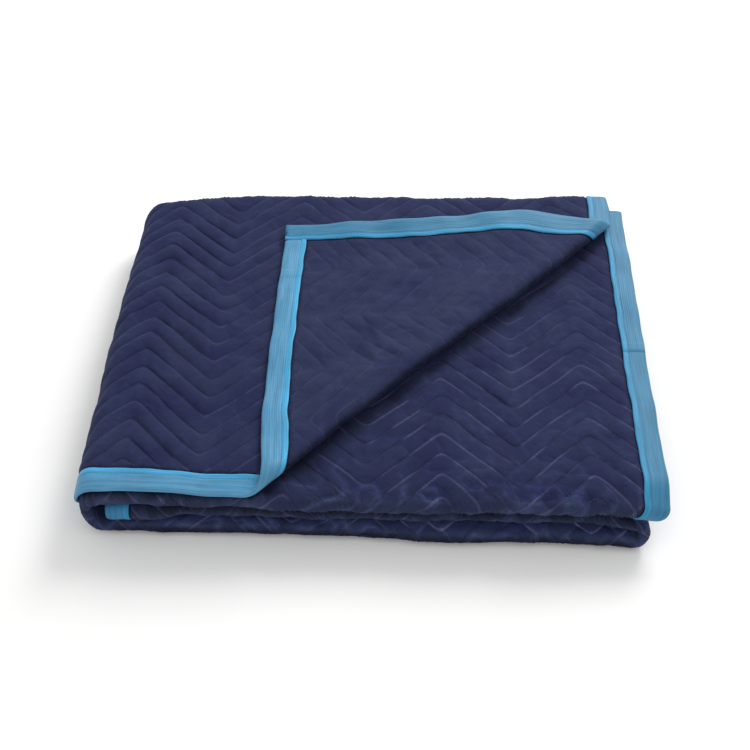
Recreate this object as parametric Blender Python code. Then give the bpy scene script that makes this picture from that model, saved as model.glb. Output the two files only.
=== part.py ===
"""A quilted moving blanket with a bound edge, folded in thirds both ways, with one corner turned back.

The sheet is cut flat, where u runs along its long side, v along its short side and w through it.
Every point then goes through three folds: the corner is turned back, the sheet is folded front to back
into a strip of three layers, and the strip is folded left to right into three panels.
+Z is up, the front is towards -Y, and the origin is under the middle of the folded stack.
"""

import math
from collections import namedtuple

import bmesh
import bpy
import numpy as np
from mathutils import Matrix, Vector

# Sheet and stack, in metres.
THICK = 0.006
PITCH = 0.0088
HALF = THICK / 2
STACK_HEIGHT = 8 * PITCH + THICK
FOLDED_DEPTH = 0.530
LEFT_CENTRE_X = 0.0250
RIGHT_CENTRE_X = 0.660
MIDDLE_HEM_X = 0.034
FOLD_FLATTEN_LEFT = 0.80
FOLD_FLATTEN_RIGHT = 0.85
MIDDLE_X = 0.3453
MIDDLE_Y = 0.2642

# Where the top panel's three layers end at the right, and how far along u each keeps that offset.
OUTER_HEM_X = 0.673
LINING_HEM_X = 0.680
TUCKED_HEM_X = 0.694
OFFSET_HELD = 0.300

# Edge binding: a folded tape sewn over the thinned edge of the sheet.
BINDING_WIDE = 0.028
BINDING_THICK = 0.001
BINDING_GAP = 0.0005
EDGE_HALF = HALF - BINDING_THICK - BINDING_GAP
EDGE_FLAT = 0.0295
EDGE_FULL = 0.0310
NOSE = BINDING_GAP + BINDING_THICK
BUTT_GAP = 0.0004

# Lengths of the flat sheet, fold by fold.
BACK_CENTRE_Y = FOLDED_DEPTH - PITCH - HALF
BACK_TURN = math.pi * PITCH
ROLL_TURN = 0.0250
OUTER_RUN = BACK_CENTRE_Y - 0.007
INNER_RUN = BACK_CENTRE_Y - 0.0105
TUCKED_RUN = 0.490
V_BACK = OUTER_RUN
V_LINING = V_BACK + BACK_TURN
V_ROLL = V_LINING + INNER_RUN
V_TUCKED = V_ROLL + ROLL_TURN
FLAT_V = V_TUCKED + TUCKED_RUN

U_LEFT = 0.645
U_BASE = U_LEFT + 0.095
LEFT_WRAP = 0.025
U_RIGHT = U_BASE + RIGHT_CENTRE_X - LEFT_CENTRE_X
U_MIDDLE = U_RIGHT + 0.052
FLAT_U = U_MIDDLE + RIGHT_CENTRE_X - MIDDLE_HEM_X

# How the strip's front lies at stations along it: where the hem and the roll stand, and the roll's size.
BASE_ROLL_Y = 0.0010
Section = namedtuple("Section", "u hem_y roll_radius roll_height roll_y")
SECTIONS = (
    Section(0.0, 0.007, 0.0085, 0.0002, 0.0105),
    Section(0.040, 0.007, 0.0075, 0.0014, 0.0105),
    Section(0.350, 0.007, 0.0075, 0.0014, 0.0105),
    Section(0.470, 0.002, 0.0075, 0.0014, 0.0105),
    Section(0.590, 0.007, 0.0075, 0.0014, 0.0105),
    Section(U_LEFT + LEFT_WRAP, 0.007, 0.0075, 0.0014, 0.0105),
    Section(U_BASE, 0.037, 0.0045, 0.0099, BASE_ROLL_Y),
    Section(U_BASE + 0.10, 0.037, 0.0045, 0.0099, BASE_ROLL_Y),
    Section(U_BASE + 0.25, 0.037, 0.0055, 0.0089, 0.0020),
    Section(U_BASE + 0.44, 0.037, 0.0055, 0.0089, -0.0050),
    Section(U_BASE + 0.52, 0.037, 0.0055, 0.0089, -0.0020),
    Section(U_RIGHT, 0.037, 0.0055, 0.0089, -0.0060),
    Section(U_MIDDLE, 0.037, 0.0047, 0.0078, 0.0035),
    Section(U_MIDDLE + 0.060, 0.037, 0.0077, 0.0035, 0.0150),
    Section(FLAT_U - 0.110, 0.037, 0.0077, 0.0035, 0.0150),
    Section(FLAT_U - 0.040, 0.037, 0.0091, 0.0029, 0.0080),
    Section(FLAT_U, 0.037, 0.0091, 0.0029, 0.0080),
)
SAG_FROM = 0.045

# Corner turned back over a soft roll, settling onto the layer below over the ramp.
CORNER_LEG = 0.470
CORNER_TURN = 0.0295
CORNER_RADIUS_FRONT = 0.0060
CORNER_RADIUS_BACK = 0.0095
CORNER_RAMP = 0.080

# How far the turned corner's back edge bows, the whole of it slides, and its stiff bound edge curls up.
CORNER_BOW = 0.033
CORNER_SHIFT = 0.007
CORNER_LIFT = 0.011
CORNER_LIFT_WIDE = 0.062
DIAGONAL = math.sqrt(0.5)

# Chevron quilting.
HALF_WAVE = 0.0885
FIRST_PEAK_U = 0.0845
ROW = 0.0287
FIRST_ROW_V = 0.0500
RISE = 0.081
RELIEF = 0.0011
RELIEF_FADE = 0.006
CREASE_FADE = 0.020

# Margins of the faces in view: at the turned corner's edge, above the ground, behind the crease, at the roll.
CORNER_EDGE = 0.012
OFF_GROUND = 0.024
CREASE_SHELTER = 0.030
ROLL_SHOULDER = 0.004

# Number of flat facets round each fold, and between folds. A zigzag's turn keeps clear of a fold's first line.
LEFT_FACETS = 8
RIGHT_FACETS = 6
BACK_FACETS = 6
ROLL_FACETS = 6
CORNER_FACETS = 6
RAMP_FACETS = 5
PANEL_FACETS = 4
SAG_FACETS = 3
COLUMN_CLEAR = 0.010

NAVY = (0.027, 0.031, 0.100, 1.0)
SKY = (0.105, 0.330, 0.510, 1.0)


def smooth(share):
    share = np.clip(share, 0.0, 1.0)
    return share * share * (3 - 2 * share)


def along_strip(u, field):
    """A section value at u, eased from one station of the strip to the next."""
    stations = [row.u for row in SECTIONS]
    values = np.array([getattr(row, field) for row in SECTIONS])
    after = np.clip(np.searchsorted(stations, u, side="right"), 1, len(stations) - 1)
    start = np.take(stations, after - 1)
    share = smooth((u - start) / (np.take(stations, after) - start))
    return values[after - 1] + (values[after] - values[after - 1]) * share


def turn_corner(u, v, w):
    """Turns the front right corner of the outer layer back over a roll along the 45 degree crease."""
    past = (CORNER_LEG - (u + v)) * DIAGONAL
    on_corner = (past > 0) & (v < V_BACK)
    foot_u = u + past * DIAGONAL
    foot_v = v + past * DIAGONAL
    along = np.clip(1 - foot_u / CORNER_LEG, 0, 1)
    radius = CORNER_RADIUS_FRONT + (CORNER_RADIUS_BACK - CORNER_RADIUS_FRONT) * along
    angle = np.clip(past / CORNER_TURN, 0, 1) * math.pi
    beyond = np.maximum(past - CORNER_TURN, 0)
    lie = smooth(beyond / CORNER_RAMP)
    reach = (radius - w) * np.sin(angle) - beyond
    lift = 2 * radius * (1 - lie) + PITCH * lie
    height = np.where(beyond > 0, lift - w, radius - (radius - w) * np.cos(angle))
    new_u = foot_u - reach * DIAGONAL
    new_v = foot_v - reach * DIAGONAL
    across = np.clip((CORNER_LEG - new_u) / CORNER_LEG, 0, 1)
    bow = CORNER_BOW * np.sin(math.pi * across**3) * lie * np.clip(new_v / CORNER_LEG, 0, 1) ** 2
    shift = CORNER_SHIFT * lie
    curl = CORNER_LIFT * lie * np.clip(1 - u / CORNER_LIFT_WIDE, 0, 1.1) ** 1.5
    curl = curl * (0.4 + 0.6 * smooth(across / 0.45))
    return (
        np.where(on_corner, new_u + shift, u),
        np.where(on_corner, new_v + bow - shift, v),
        np.where(on_corner, height + curl, w),
    )


def fold_front_to_back(u, v, w):
    """Depth y, height in the strip, and how far right that layer's end hem lies."""
    hem_y = along_strip(u, "hem_y")
    radius = along_strip(u, "roll_radius")
    roll_height = along_strip(u, "roll_height")
    roll_y = along_strip(u, "roll_y")
    outer_y = hem_y + v / OUTER_RUN * (BACK_CENTRE_Y - hem_y)
    back_angle = np.clip((v - V_BACK) / BACK_TURN, 0, 1) * math.pi
    back_y = BACK_CENTRE_Y + (PITCH + w) * np.sin(back_angle)
    back_height = PITCH + (PITCH + w) * np.cos(back_angle)
    lining_y = BACK_CENTRE_Y - (v - V_LINING) / INNER_RUN * (BACK_CENTRE_Y - roll_y)
    lining_sag = smooth((SAG_FROM - lining_y) / (SAG_FROM - roll_y)) * (roll_height - radius)
    roll_angle = np.clip((v - V_ROLL) / ROLL_TURN, 0, 1) * math.pi
    front_y = roll_y - (radius + w) * np.sin(roll_angle)
    front_height = roll_height - (radius + w) * np.cos(roll_angle)
    tucked_y = roll_y + (v - V_TUCKED)
    tucked_sag = smooth((SAG_FROM - tucked_y) / (SAG_FROM - roll_y)) * (roll_height + radius - PITCH)
    stage = [v < V_BACK, v < V_LINING, v < V_ROLL, v < V_TUCKED]
    y = np.select(stage, [outer_y, back_y, lining_y, front_y], tucked_y)
    height = np.select(
        stage,
        [2 * PITCH + w, back_height, lining_sag - w, front_height],
        PITCH + w + tucked_sag,
    )
    to_lining = (1 - np.cos(back_angle)) / 2
    to_tucked = (1 - np.cos(roll_angle)) / 2
    hem_x = OUTER_HEM_X + (LINING_HEM_X - OUTER_HEM_X) * to_lining
    hem_x = hem_x + (TUCKED_HEM_X - LINING_HEM_X) * to_tucked
    return y, height, hem_x


def fold_left_to_right(u, height, hem_x):
    """Width x and height z of the strip folded round its left and right ends."""
    left_angle = np.clip((u - U_LEFT) / (U_BASE - U_LEFT), 0, 1) * math.pi
    right_angle = np.clip((u - U_RIGHT) / (U_MIDDLE - U_RIGHT), 0, 1) * math.pi
    left_reach = 2 * PITCH + height
    right_reach = PITCH / 2 + height
    span = RIGHT_CENTRE_X - LEFT_CENTRE_X
    stage = [u < U_LEFT, u < U_BASE, u < U_RIGHT, u < U_MIDDLE]
    held = 1 - smooth((u - OFFSET_HELD) / (U_LEFT - OFFSET_HELD))
    across = [
        OUTER_HEM_X + (LEFT_CENTRE_X - OUTER_HEM_X) * u / U_LEFT + (hem_x - OUTER_HEM_X) * held,
        LEFT_CENTRE_X - FOLD_FLATTEN_LEFT * left_reach * np.sin(left_angle),
        LEFT_CENTRE_X + span * (u - U_BASE) / (U_RIGHT - U_BASE),
        RIGHT_CENTRE_X + FOLD_FLATTEN_RIGHT * right_reach * np.sin(right_angle),
    ]
    up = [
        6 * PITCH + height,
        4 * PITCH + left_reach * np.cos(left_angle),
        2 * PITCH - height,
        2.5 * PITCH - right_reach * np.cos(right_angle),
    ]
    x = np.select(stage, across, RIGHT_CENTRE_X - (u - U_MIDDLE))
    return x, np.select(stage, up, 3 * PITCH + height) + HALF


# How the stack's front edge slumps and stands back, in metres, at points along its width.
Slump = namedtuple("Slump", "x drop back")
FRONT_SLUMP = (
    Slump(0.00, 0.006, 0.001),
    Slump(0.05, 0.004, 0.003),
    Slump(0.10, 0.003, 0.003),
    Slump(0.20, 0.007, 0.004),
    Slump(0.26, 0.003, -0.001),
    Slump(0.35, 0.007, 0.000),
    Slump(0.52, 0.004, 0.000),
    Slump(0.60, 0.006, 0.000),
    Slump(0.66, 0.010, 0.000),
    Slump(0.69, 0.014, -0.002),
)
SLUMP_FROM = 0.042
SLUMP_RUN = 0.045

# Slow waves left in the cloth: size in metres, wavelength across x and y, and phase.
Wave = namedtuple("Wave", "size across deep phase")
TOP_WAVES = (
    Wave(0.0012, 0.47, 0.90, 0.4),
    Wave(0.0009, 0.80, 0.38, 2.1),
)
SIDE_WAVES = (Wave(0.0012, 9.0, 0.53, 1.57),)

# How far back the stack's back edge reaches past its mean line, at points along its width.
BackLine = namedtuple("BackLine", "x reach")
BACK_LINE = (
    BackLine(-0.01, -0.024),
    BackLine(0.02, -0.018),
    BackLine(0.05, -0.010),
    BackLine(0.09, -0.001),
    BackLine(0.15, 0.003),
    BackLine(0.22, 0.004),
    BackLine(0.27, 0.000),
    BackLine(0.40, 0.003),
    BackLine(0.55, 0.006),
    BackLine(0.62, 0.013),
    BackLine(0.70, 0.014),
)

# How far the front leans left of the back, and how far the lowest layers tuck in under the left fold.
SIDE_SKEW = 0.009
LEFT_TUCK = 0.006
LEFT_TUCK_WIDE = 0.100


def waves(rows, x, y):
    total = np.zeros_like(x)
    for row in rows:
        total += row.size * np.sin(2 * math.pi * (x / row.across + y / row.deep) + row.phase)
    return total


def settle(x, y, z):
    """Lets the stack slump and skew a little, keeping its underside on the ground plane."""
    share_x = x / TUCKED_HEM_X
    share_y = y / FOLDED_DEPTH
    at_front = smooth((SLUMP_FROM - y) / SLUMP_RUN)
    drop = at_front * np.interp(x, [row.x for row in FRONT_SLUMP], [row.drop for row in FRONT_SLUMP])
    back = at_front * np.interp(x, [row.x for row in FRONT_SLUMP], [row.back for row in FRONT_SLUMP])
    reach = np.interp(x, [row.x for row in BACK_LINE], [row.reach for row in BACK_LINE])
    rise = waves(TOP_WAVES, x, y) - drop
    new_z = z * (1 + rise / STACK_HEIGHT)
    new_x = x - SIDE_SKEW * share_x * (1 - share_y) + waves(SIDE_WAVES, x, y) * (1 - share_x)
    new_x = new_x + LEFT_TUCK * (1 - z / STACK_HEIGHT) * np.clip(1 - x / LEFT_TUCK_WIDE, 0, 1.2)
    new_y = y + back * z / STACK_HEIGHT + share_y**5 * reach
    return new_x - MIDDLE_X, new_y - MIDDLE_Y, new_z


def lie_folded(points):
    u, v, w = points.T
    u, v, w = turn_corner(u, v, w)
    y, height, hem_x = fold_front_to_back(u, v, w)
    x, z = fold_left_to_right(u, height, hem_x)
    return np.stack(settle(x, y, z), axis=1)


def zigzag(u):
    """How far back the stitch lines stand at u: a straight-legged zigzag, highest at the peaks."""
    wave = (u - FIRST_PEAK_U) / HALF_WAVE
    return RISE * (1 - np.abs(wave - 2 * np.round(wave / 2)))


def edge_distance(u, v):
    return np.minimum.reduce([u, FLAT_U - u, v, FLAT_V - v])


def under_corner(u, v):
    """Whether this part of the outer layer lies under the turned corner, or turns with it."""
    return (u < CORNER_LEG - CORNER_EDGE) & (v < CORNER_LEG - CORNER_EDGE)


def shows(u, v, w):
    """Where a face of the sheet is in view and so has its quilting raised."""
    corner = u + v < CORNER_LEG - CORNER_TURN / DIAGONAL
    turned = corner & (w < 0)
    outer = (v < V_LINING) & (u < U_BASE - OFF_GROUND) & ~under_corner(u, v)
    past_crease = u + (v - V_TUCKED) < CORNER_LEG + CREASE_SHELTER
    front_roll = (v > V_ROLL - ROLL_SHOULDER) & (v < V_TUCKED + ROLL_SHOULDER)
    tucked = (v >= V_TUCKED) & (u < U_LEFT) & past_crease
    return turned | ((w > 0) & (outer | front_roll | tucked))


def quilt_face(points):
    """Thins the sheet under its binding and raises the quilting on the faces in view."""
    u, v, w = points.T
    full = np.clip((edge_distance(u, v) - EDGE_FLAT) / (EDGE_FULL - EDGE_FLAT), 0, 1)
    half = EDGE_HALF + (HALF - EDGE_HALF) * full
    clear = smooth((edge_distance(u, v) - EDGE_FULL) / RELIEF_FADE)
    off_crease = (CORNER_LEG - u - v) * DIAGONAL - CORNER_TURN
    clear = clear * np.where(w < 0, smooth(off_crease / CREASE_FADE), 1)
    puff = -np.cos(2 * math.pi * (v - FIRST_ROW_V - zigzag(u)) / ROW)
    raised = np.where(shows(u, v, w), RELIEF * puff * clear, 0)
    return np.stack([u, v, np.sign(w) * (half + raised)], axis=1)


def evenly(start, end, parts):
    return [start + (end - start) * step / parts for step in range(1, parts)]


def turning_columns():
    """Positions along u where the zigzag turns."""
    count = int((FLAT_U - FIRST_PEAK_U) / HALF_WAVE) + 1
    return [FIRST_PEAK_U + HALF_WAVE * step for step in range(-1, count)]


def stations_u():
    cuts = [EDGE_FLAT, EDGE_FULL, U_LEFT, U_BASE, U_RIGHT, U_MIDDLE, FLAT_U - EDGE_FULL, FLAT_U - EDGE_FLAT]
    cuts += [u for u in turning_columns() if 0 < u < U_LEFT - COLUMN_CLEAR]
    cuts += evenly(U_LEFT, U_BASE, LEFT_FACETS)
    cuts += evenly(U_BASE, U_RIGHT, PANEL_FACETS)
    cuts += evenly(U_RIGHT, U_MIDDLE, RIGHT_FACETS)
    cuts += evenly(U_MIDDLE, FLAT_U - EDGE_FULL, PANEL_FACETS)
    return sorted(cuts)


def stations_v():
    sag = SAG_FROM - BASE_ROLL_Y
    cuts = [EDGE_FLAT / 2, EDGE_FLAT, EDGE_FULL, SAG_FROM, V_BACK, V_LINING, V_ROLL, V_TUCKED]
    cuts += evenly(SAG_FROM, V_BACK, PANEL_FACETS)
    cuts += evenly(V_BACK, V_LINING, BACK_FACETS)
    cuts += evenly(V_LINING, V_ROLL - sag, PANEL_FACETS) + [V_ROLL - sag]
    cuts += evenly(V_ROLL - sag, V_ROLL, SAG_FACETS)
    cuts += evenly(V_ROLL, V_TUCKED, ROLL_FACETS)
    cuts += evenly(V_TUCKED, V_TUCKED + sag, SAG_FACETS) + [V_TUCKED + sag]
    cuts += evenly(V_TUCKED + sag, FLAT_V - EDGE_FULL, PANEL_FACETS)
    cuts += [FLAT_V - EDGE_FULL, FLAT_V - EDGE_FLAT]
    return sorted(cuts)


def cut(bm, faces, point, normal):
    """Adds the line where a plane crosses these faces, without taking anything away."""
    edges = {edge for face in faces for edge in face.edges}
    verts = {vert for face in faces for vert in face.verts}
    bmesh.ops.bisect_plane(
        bm,
        geom=list(faces) + list(edges) + list(verts),
        dist=1e-6,
        plane_co=Vector(point),
        plane_no=Vector(normal),
    )


def cut_fold_lines(bm):
    """Lines where the flat sheet, or a binding on it, will bend."""
    for u in stations_u():
        cut(bm, bm.faces[:], (u, 0, 0), (1, 0, 0))
    for v in stations_v():
        cut(bm, bm.faces[:], (0, v, 0), (0, 1, 0))
    turn = [0, *evenly(0, CORNER_TURN, CORNER_FACETS), CORNER_TURN]
    ramp_end = CORNER_TURN + CORNER_RAMP
    ramp = [*evenly(CORNER_TURN, ramp_end, RAMP_FACETS), ramp_end]
    for past in turn + ramp:
        reach = CORNER_LEG - past / DIAGONAL
        outer = [face for face in bm.faces if face.calc_center_bounds().y < V_BACK]
        cut(bm, outer, (reach, 0, 0), (1, 1, 0))


def split_flat_faces(bm):
    """Splits every face of the flat sheet into triangles, four-sided ones along the same diagonal."""
    for face in bm.faces[:]:
        if len(face.verts) != 4 or abs(face.normal.z) < 0.5:
            continue
        corners = sorted(face.verts, key=lambda vert: vert.co.x + vert.co.y)
        first, last = corners[0], corners[-1]
        if not any({first, last} == set(edge.verts) for edge in face.edges):
            bmesh.utils.face_split(face, first, last)
    rest = [face for face in bm.faces if len(face.verts) > 3]
    bmesh.ops.triangulate(bm, faces=rest)


def in_view(face, side):
    centre = face.calc_center_bounds()
    if abs(face.normal.z) < 0.5 or centre.z * side < 0:
        return False
    if edge_distance(centre.x, centre.y) < EDGE_FULL:
        return False
    return bool(shows(np.array([centre.x]), np.array([centre.y]), np.array([centre.z]))[0])


def cut_quilting(bm):
    """Stitch lines and the ridges between them, leg by leg, on the faces in view."""
    columns = turning_columns()
    slope = RISE / HALF_WAVE
    for column in columns[1:]:
        seen = [face for face in bm.faces if in_view(face, 1) or in_view(face, -1)]
        cut(bm, seen, (column, 0, 0), (1, 0, 0))
    for left, right in zip(columns[:-1], columns[1:]):
        strip = []
        for face in bm.faces:
            if left < face.calc_center_bounds().x < right and (in_view(face, 1) or in_view(face, -1)):
                strip.append(face)
        if not strip:
            continue
        start = float(zigzag(np.array([left]))[0])
        lean = slope if start < RISE / 2 else -slope
        rows = int(FLAT_V / ROW * 2) + 8
        for step in range(-8, rows):
            v = FIRST_ROW_V + ROW * step / 2 + start
            near = []
            for face in strip:
                offsets = [vert.co.y - v - lean * (vert.co.x - left) for vert in face.verts]
                if min(offsets) < -1e-5 and max(offsets) > 1e-5:
                    near.append(face)
            if not near:
                continue
            before = set(bm.faces)
            cut(bm, near, (left, v, 0), (-lean, 1, 0))
            strip = [face for face in strip if face.is_valid] + [face for face in bm.faces if face not in before]


def box(bm, low, high):
    size = [b - a for a, b in zip(low, high)]
    middle = [(a + b) / 2 for a, b in zip(low, high)]
    bmesh.ops.create_cube(bm, size=1.0, matrix=Matrix.Translation(middle) @ Matrix.Diagonal((*size, 1.0)))


def box_object(name, low, high, collection):
    bm = bmesh.new()
    box(bm, low, high)
    mesh = bpy.data.meshes.new(name)
    bm.to_mesh(mesh)
    bm.free()
    made = bpy.data.objects.new(name, mesh)
    collection.objects.link(made)
    return made


def fabric(name, colour, roughness):
    material = bpy.data.materials.new(name)
    material.use_nodes = True
    shader = material.node_tree.nodes["Principled BSDF"]
    shader.inputs["Base Color"].default_value = colour
    shader.inputs["Roughness"].default_value = roughness
    shader.inputs["Metallic"].default_value = 0.0
    material.diffuse_color = colour
    return material


def finish(made, bm, points, material):
    split_flat_faces(bm)
    for vert, place in zip(bm.verts, lie_folded(points)):
        vert.co = place
    # The long side runs from right to left, so the folded sheet is a mirror image of the flat one.
    bmesh.ops.reverse_faces(bm, faces=bm.faces[:])
    bm.to_mesh(made.data)
    bm.free()
    made.data.materials.clear()
    made.data.materials.append(material)


def coordinates(bm):
    return np.array([vert.co[:] for vert in bm.verts])


def make_quilt(collection, material):
    made = box_object("quilted_sheet", (0, 0, -HALF), (FLAT_U, FLAT_V, HALF), collection)
    bm = bmesh.new()
    bm.from_mesh(made.data)
    cut_fold_lines(bm)
    cut_quilting(bm)
    finish(made, bm, quilt_face(coordinates(bm)), material)
    return made


# The four edge bindings: which part of the flat sheet each covers.
Binding = namedtuple("Binding", "name low high")
SIDE_END = BINDING_WIDE + BUTT_GAP
FAR_U = FLAT_U - BINDING_WIDE
FAR_V = FLAT_V - BINDING_WIDE
BINDINGS = (
    Binding("binding_right", (-NOSE, -NOSE), (BINDING_WIDE, FLAT_V + NOSE)),
    Binding("binding_inner", (FAR_U, -NOSE), (FLAT_U + NOSE, FLAT_V + NOSE)),
    Binding("binding_front", (SIDE_END, -NOSE), (FLAT_U - SIDE_END, BINDING_WIDE)),
    Binding("binding_tucked", (SIDE_END, FAR_V), (FLAT_U - SIDE_END, FLAT_V + NOSE)),
)


def make_binding(row, room, collection, material):
    """A closed tape round the edge, less the room that the sheet takes inside it."""
    made = box_object(row.name, (*row.low, -HALF), (*row.high, HALF), collection)
    slot = made.modifiers.new("slot", "BOOLEAN")
    slot.operation = "DIFFERENCE"
    slot.solver = "EXACT"
    slot.object = room
    graph = bpy.context.evaluated_depsgraph_get()
    bm = bmesh.new()
    bm.from_mesh(made.evaluated_get(graph).to_mesh())
    made.modifiers.clear()
    cut_fold_lines(bm)
    finish(made, bm, coordinates(bm), material)
    return made


def collection_named(name):
    made = bpy.data.collections.new(name)
    bpy.context.scene.collection.children.link(made)
    return made


def build():
    for existing in list(bpy.data.objects):
        bpy.data.objects.remove(existing, do_unlink=True)
    blanket = collection_named("moving_blanket")
    cutters = collection_named("cutters")
    cutters.hide_render = True
    navy = fabric("navy_quilted_cloth", NAVY, 0.92)
    sky = fabric("sky_blue_binding", SKY, 0.60)
    make_quilt(blanket, navy)
    gap = BINDING_GAP
    room_half = EDGE_HALF + gap
    room = box_object("sheet_room", (-gap, -gap, -room_half), (FLAT_U + gap, FLAT_V + gap, room_half), cutters)
    room.hide_render = True
    room.display_type = "WIRE"
    for row in BINDINGS:
        make_binding(row, room, blanket, sky)


build()
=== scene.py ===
# %% [markdown]
# # A quilted moving blanket, folded with one corner turned back
#
# A moving blanket is two faces of woven cloth with wadding between them, sewn together in rows of chevrons
# and bound round the edge with a folded tape. This lesson dresses the plain solids of a folded one. The same
# rule that folds the solids is written out again here, because a finer sheet that goes through the same folds
# lands exactly where the solids are, and no piece has to be fitted by eye.

# %% Load the solids
import math
from collections import namedtuple
from functools import partial

import bmesh
import bpy
import numpy as np
from mathutils import Matrix, Vector


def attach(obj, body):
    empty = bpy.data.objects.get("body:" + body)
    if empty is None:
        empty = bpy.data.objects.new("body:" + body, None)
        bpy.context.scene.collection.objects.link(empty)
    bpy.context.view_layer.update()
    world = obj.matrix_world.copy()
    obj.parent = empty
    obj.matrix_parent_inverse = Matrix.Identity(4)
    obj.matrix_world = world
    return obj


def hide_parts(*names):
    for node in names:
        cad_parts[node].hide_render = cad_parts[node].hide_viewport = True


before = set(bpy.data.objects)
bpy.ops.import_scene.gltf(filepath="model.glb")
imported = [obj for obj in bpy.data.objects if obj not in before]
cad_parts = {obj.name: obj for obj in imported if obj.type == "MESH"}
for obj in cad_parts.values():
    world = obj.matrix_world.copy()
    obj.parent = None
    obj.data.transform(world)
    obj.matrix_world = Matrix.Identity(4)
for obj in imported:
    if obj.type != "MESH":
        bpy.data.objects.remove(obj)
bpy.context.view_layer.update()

# %% [markdown]
# ## Sizes of the sheet and of its folds
#
# The cloth is 6 mm thick, and its layers lie 8.8 mm apart, middle to middle. The flat sheet has u along its
# long side and v along its short side, both in metres, and w through its thickness. The lengths between the
# folds are added up one after the other, so the flat size comes out of them.

# %% Sizes
THICK = 0.006
PITCH = 0.0088
HALF = THICK / 2
STACK_HEIGHT = 8 * PITCH + THICK
FOLDED_DEPTH = 0.530
DIAGONAL = math.sqrt(0.5)
MIDDLE_X = 0.3453
MIDDLE_Y = 0.2642

# The folds' centres, and how far across each layer's end hem lies
LEFT_CENTRE_X = 0.0250
RIGHT_CENTRE_X = 0.660
FOLD_FLATTEN_LEFT = 0.80
FOLD_FLATTEN_RIGHT = 0.85
OFFSET_HELD = 0.300
MIDDLE_HEM_X = 0.034
OUTER_HEM_X = 0.673
LINING_HEM_X = 0.680
TUCKED_HEM_X = 0.694

# The tape, and the thinned edge of the sheet inside it
BINDING_WIDE = 0.028
BINDING_THICK = 0.001
BINDING_GAP = 0.0005
EDGE_HALF = HALF - BINDING_THICK - BINDING_GAP
EDGE_FLAT = 0.0295
EDGE_FULL = 0.0310
NOSE = BINDING_GAP + BINDING_THICK
BUTT_GAP = 0.0004

# Runs and turns along the short side, from the hem on top to the one tucked in
HEM_Y = 0.007
ROLL_Y = 0.0105
BACK_CENTRE_Y = FOLDED_DEPTH - PITCH - HALF
BACK_TURN = math.pi * PITCH
ROLL_TURN = 0.0250
OUTER_RUN = BACK_CENTRE_Y - HEM_Y
INNER_RUN = BACK_CENTRE_Y - ROLL_Y
TUCKED_RUN = 0.490
V_BACK = OUTER_RUN
V_LINING = V_BACK + BACK_TURN
V_ROLL = V_LINING + INNER_RUN
V_TUCKED = V_ROLL + ROLL_TURN
FLAT_V = V_TUCKED + TUCKED_RUN
SAG_FROM = 0.045

# Runs and turns along the long side, from the open right end to the one inside the left fold
LEFT_TURN = 0.095
RIGHT_TURN = 0.052
LEFT_WRAP = 0.025
U_LEFT = 0.645
U_BASE = U_LEFT + LEFT_TURN
U_RIGHT = U_BASE + RIGHT_CENTRE_X - LEFT_CENTRE_X
U_MIDDLE = U_RIGHT + RIGHT_TURN
FLAT_U = U_MIDDLE + RIGHT_CENTRE_X - MIDDLE_HEM_X

# The turned corner
CORNER_LEG = 0.470
CORNER_TURN = 0.0295
CORNER_RADIUS_FRONT = 0.0060
CORNER_RADIUS_BACK = 0.0095
CORNER_RAMP = 0.080
CORNER_BOW = 0.033
CORNER_SHIFT = 0.007
CORNER_LIFT = 0.011
CORNER_LIFT_WIDE = 0.062
CURL_LEAST = 0.4
CURL_FULL_BY = 0.45
print(f"flat sheet {FLAT_U:.3f} x {FLAT_V:.3f} m, layers {PITCH * 1000:.1f} mm apart")

# %% Tables of the strip's front and of the slump
Wave = namedtuple("Wave", "size across deep phase")


def table(fields, rows, per_metre=1):
    """Rows of plain numbers as rows with named fields. Millimetres go 1000 to the metre."""
    named = namedtuple("Row", fields)
    return [named(*(value / per_metre for value in row)) for row in rows]


# At each place along the strip: the hem's y, then the front roll's radius, height and y
SECTIONS = table("u hem_y roll_radius roll_height roll_y", (
    (0.0, HEM_Y, 0.0085, 0.0002, ROLL_Y),
    (0.040, HEM_Y, 0.0075, 0.0014, ROLL_Y),
    (0.350, HEM_Y, 0.0075, 0.0014, ROLL_Y),
    (0.470, 0.002, 0.0075, 0.0014, ROLL_Y),
    (0.590, HEM_Y, 0.0075, 0.0014, ROLL_Y),
    (U_LEFT + LEFT_WRAP, HEM_Y, 0.0075, 0.0014, ROLL_Y),
    (U_BASE, 0.037, 0.0045, 0.0099, 0.0010),
    (U_BASE + 0.10, 0.037, 0.0045, 0.0099, 0.0010),
    (U_BASE + 0.25, 0.037, 0.0055, 0.0089, 0.0020),
    (U_BASE + 0.44, 0.037, 0.0055, 0.0089, -0.0050),
    (U_BASE + 0.52, 0.037, 0.0055, 0.0089, -0.0020),
    (U_RIGHT, 0.037, 0.0055, 0.0089, -0.0060),
    (U_MIDDLE, 0.037, 0.0047, 0.0078, 0.0035),
    (U_MIDDLE + 0.060, 0.037, 0.0077, 0.0035, 0.0150),
    (FLAT_U - 0.110, 0.037, 0.0077, 0.0035, 0.0150),
    (FLAT_U - 0.040, 0.037, 0.0091, 0.0029, 0.0080),
    (FLAT_U, 0.037, 0.0091, 0.0029, 0.0080),
))
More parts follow.
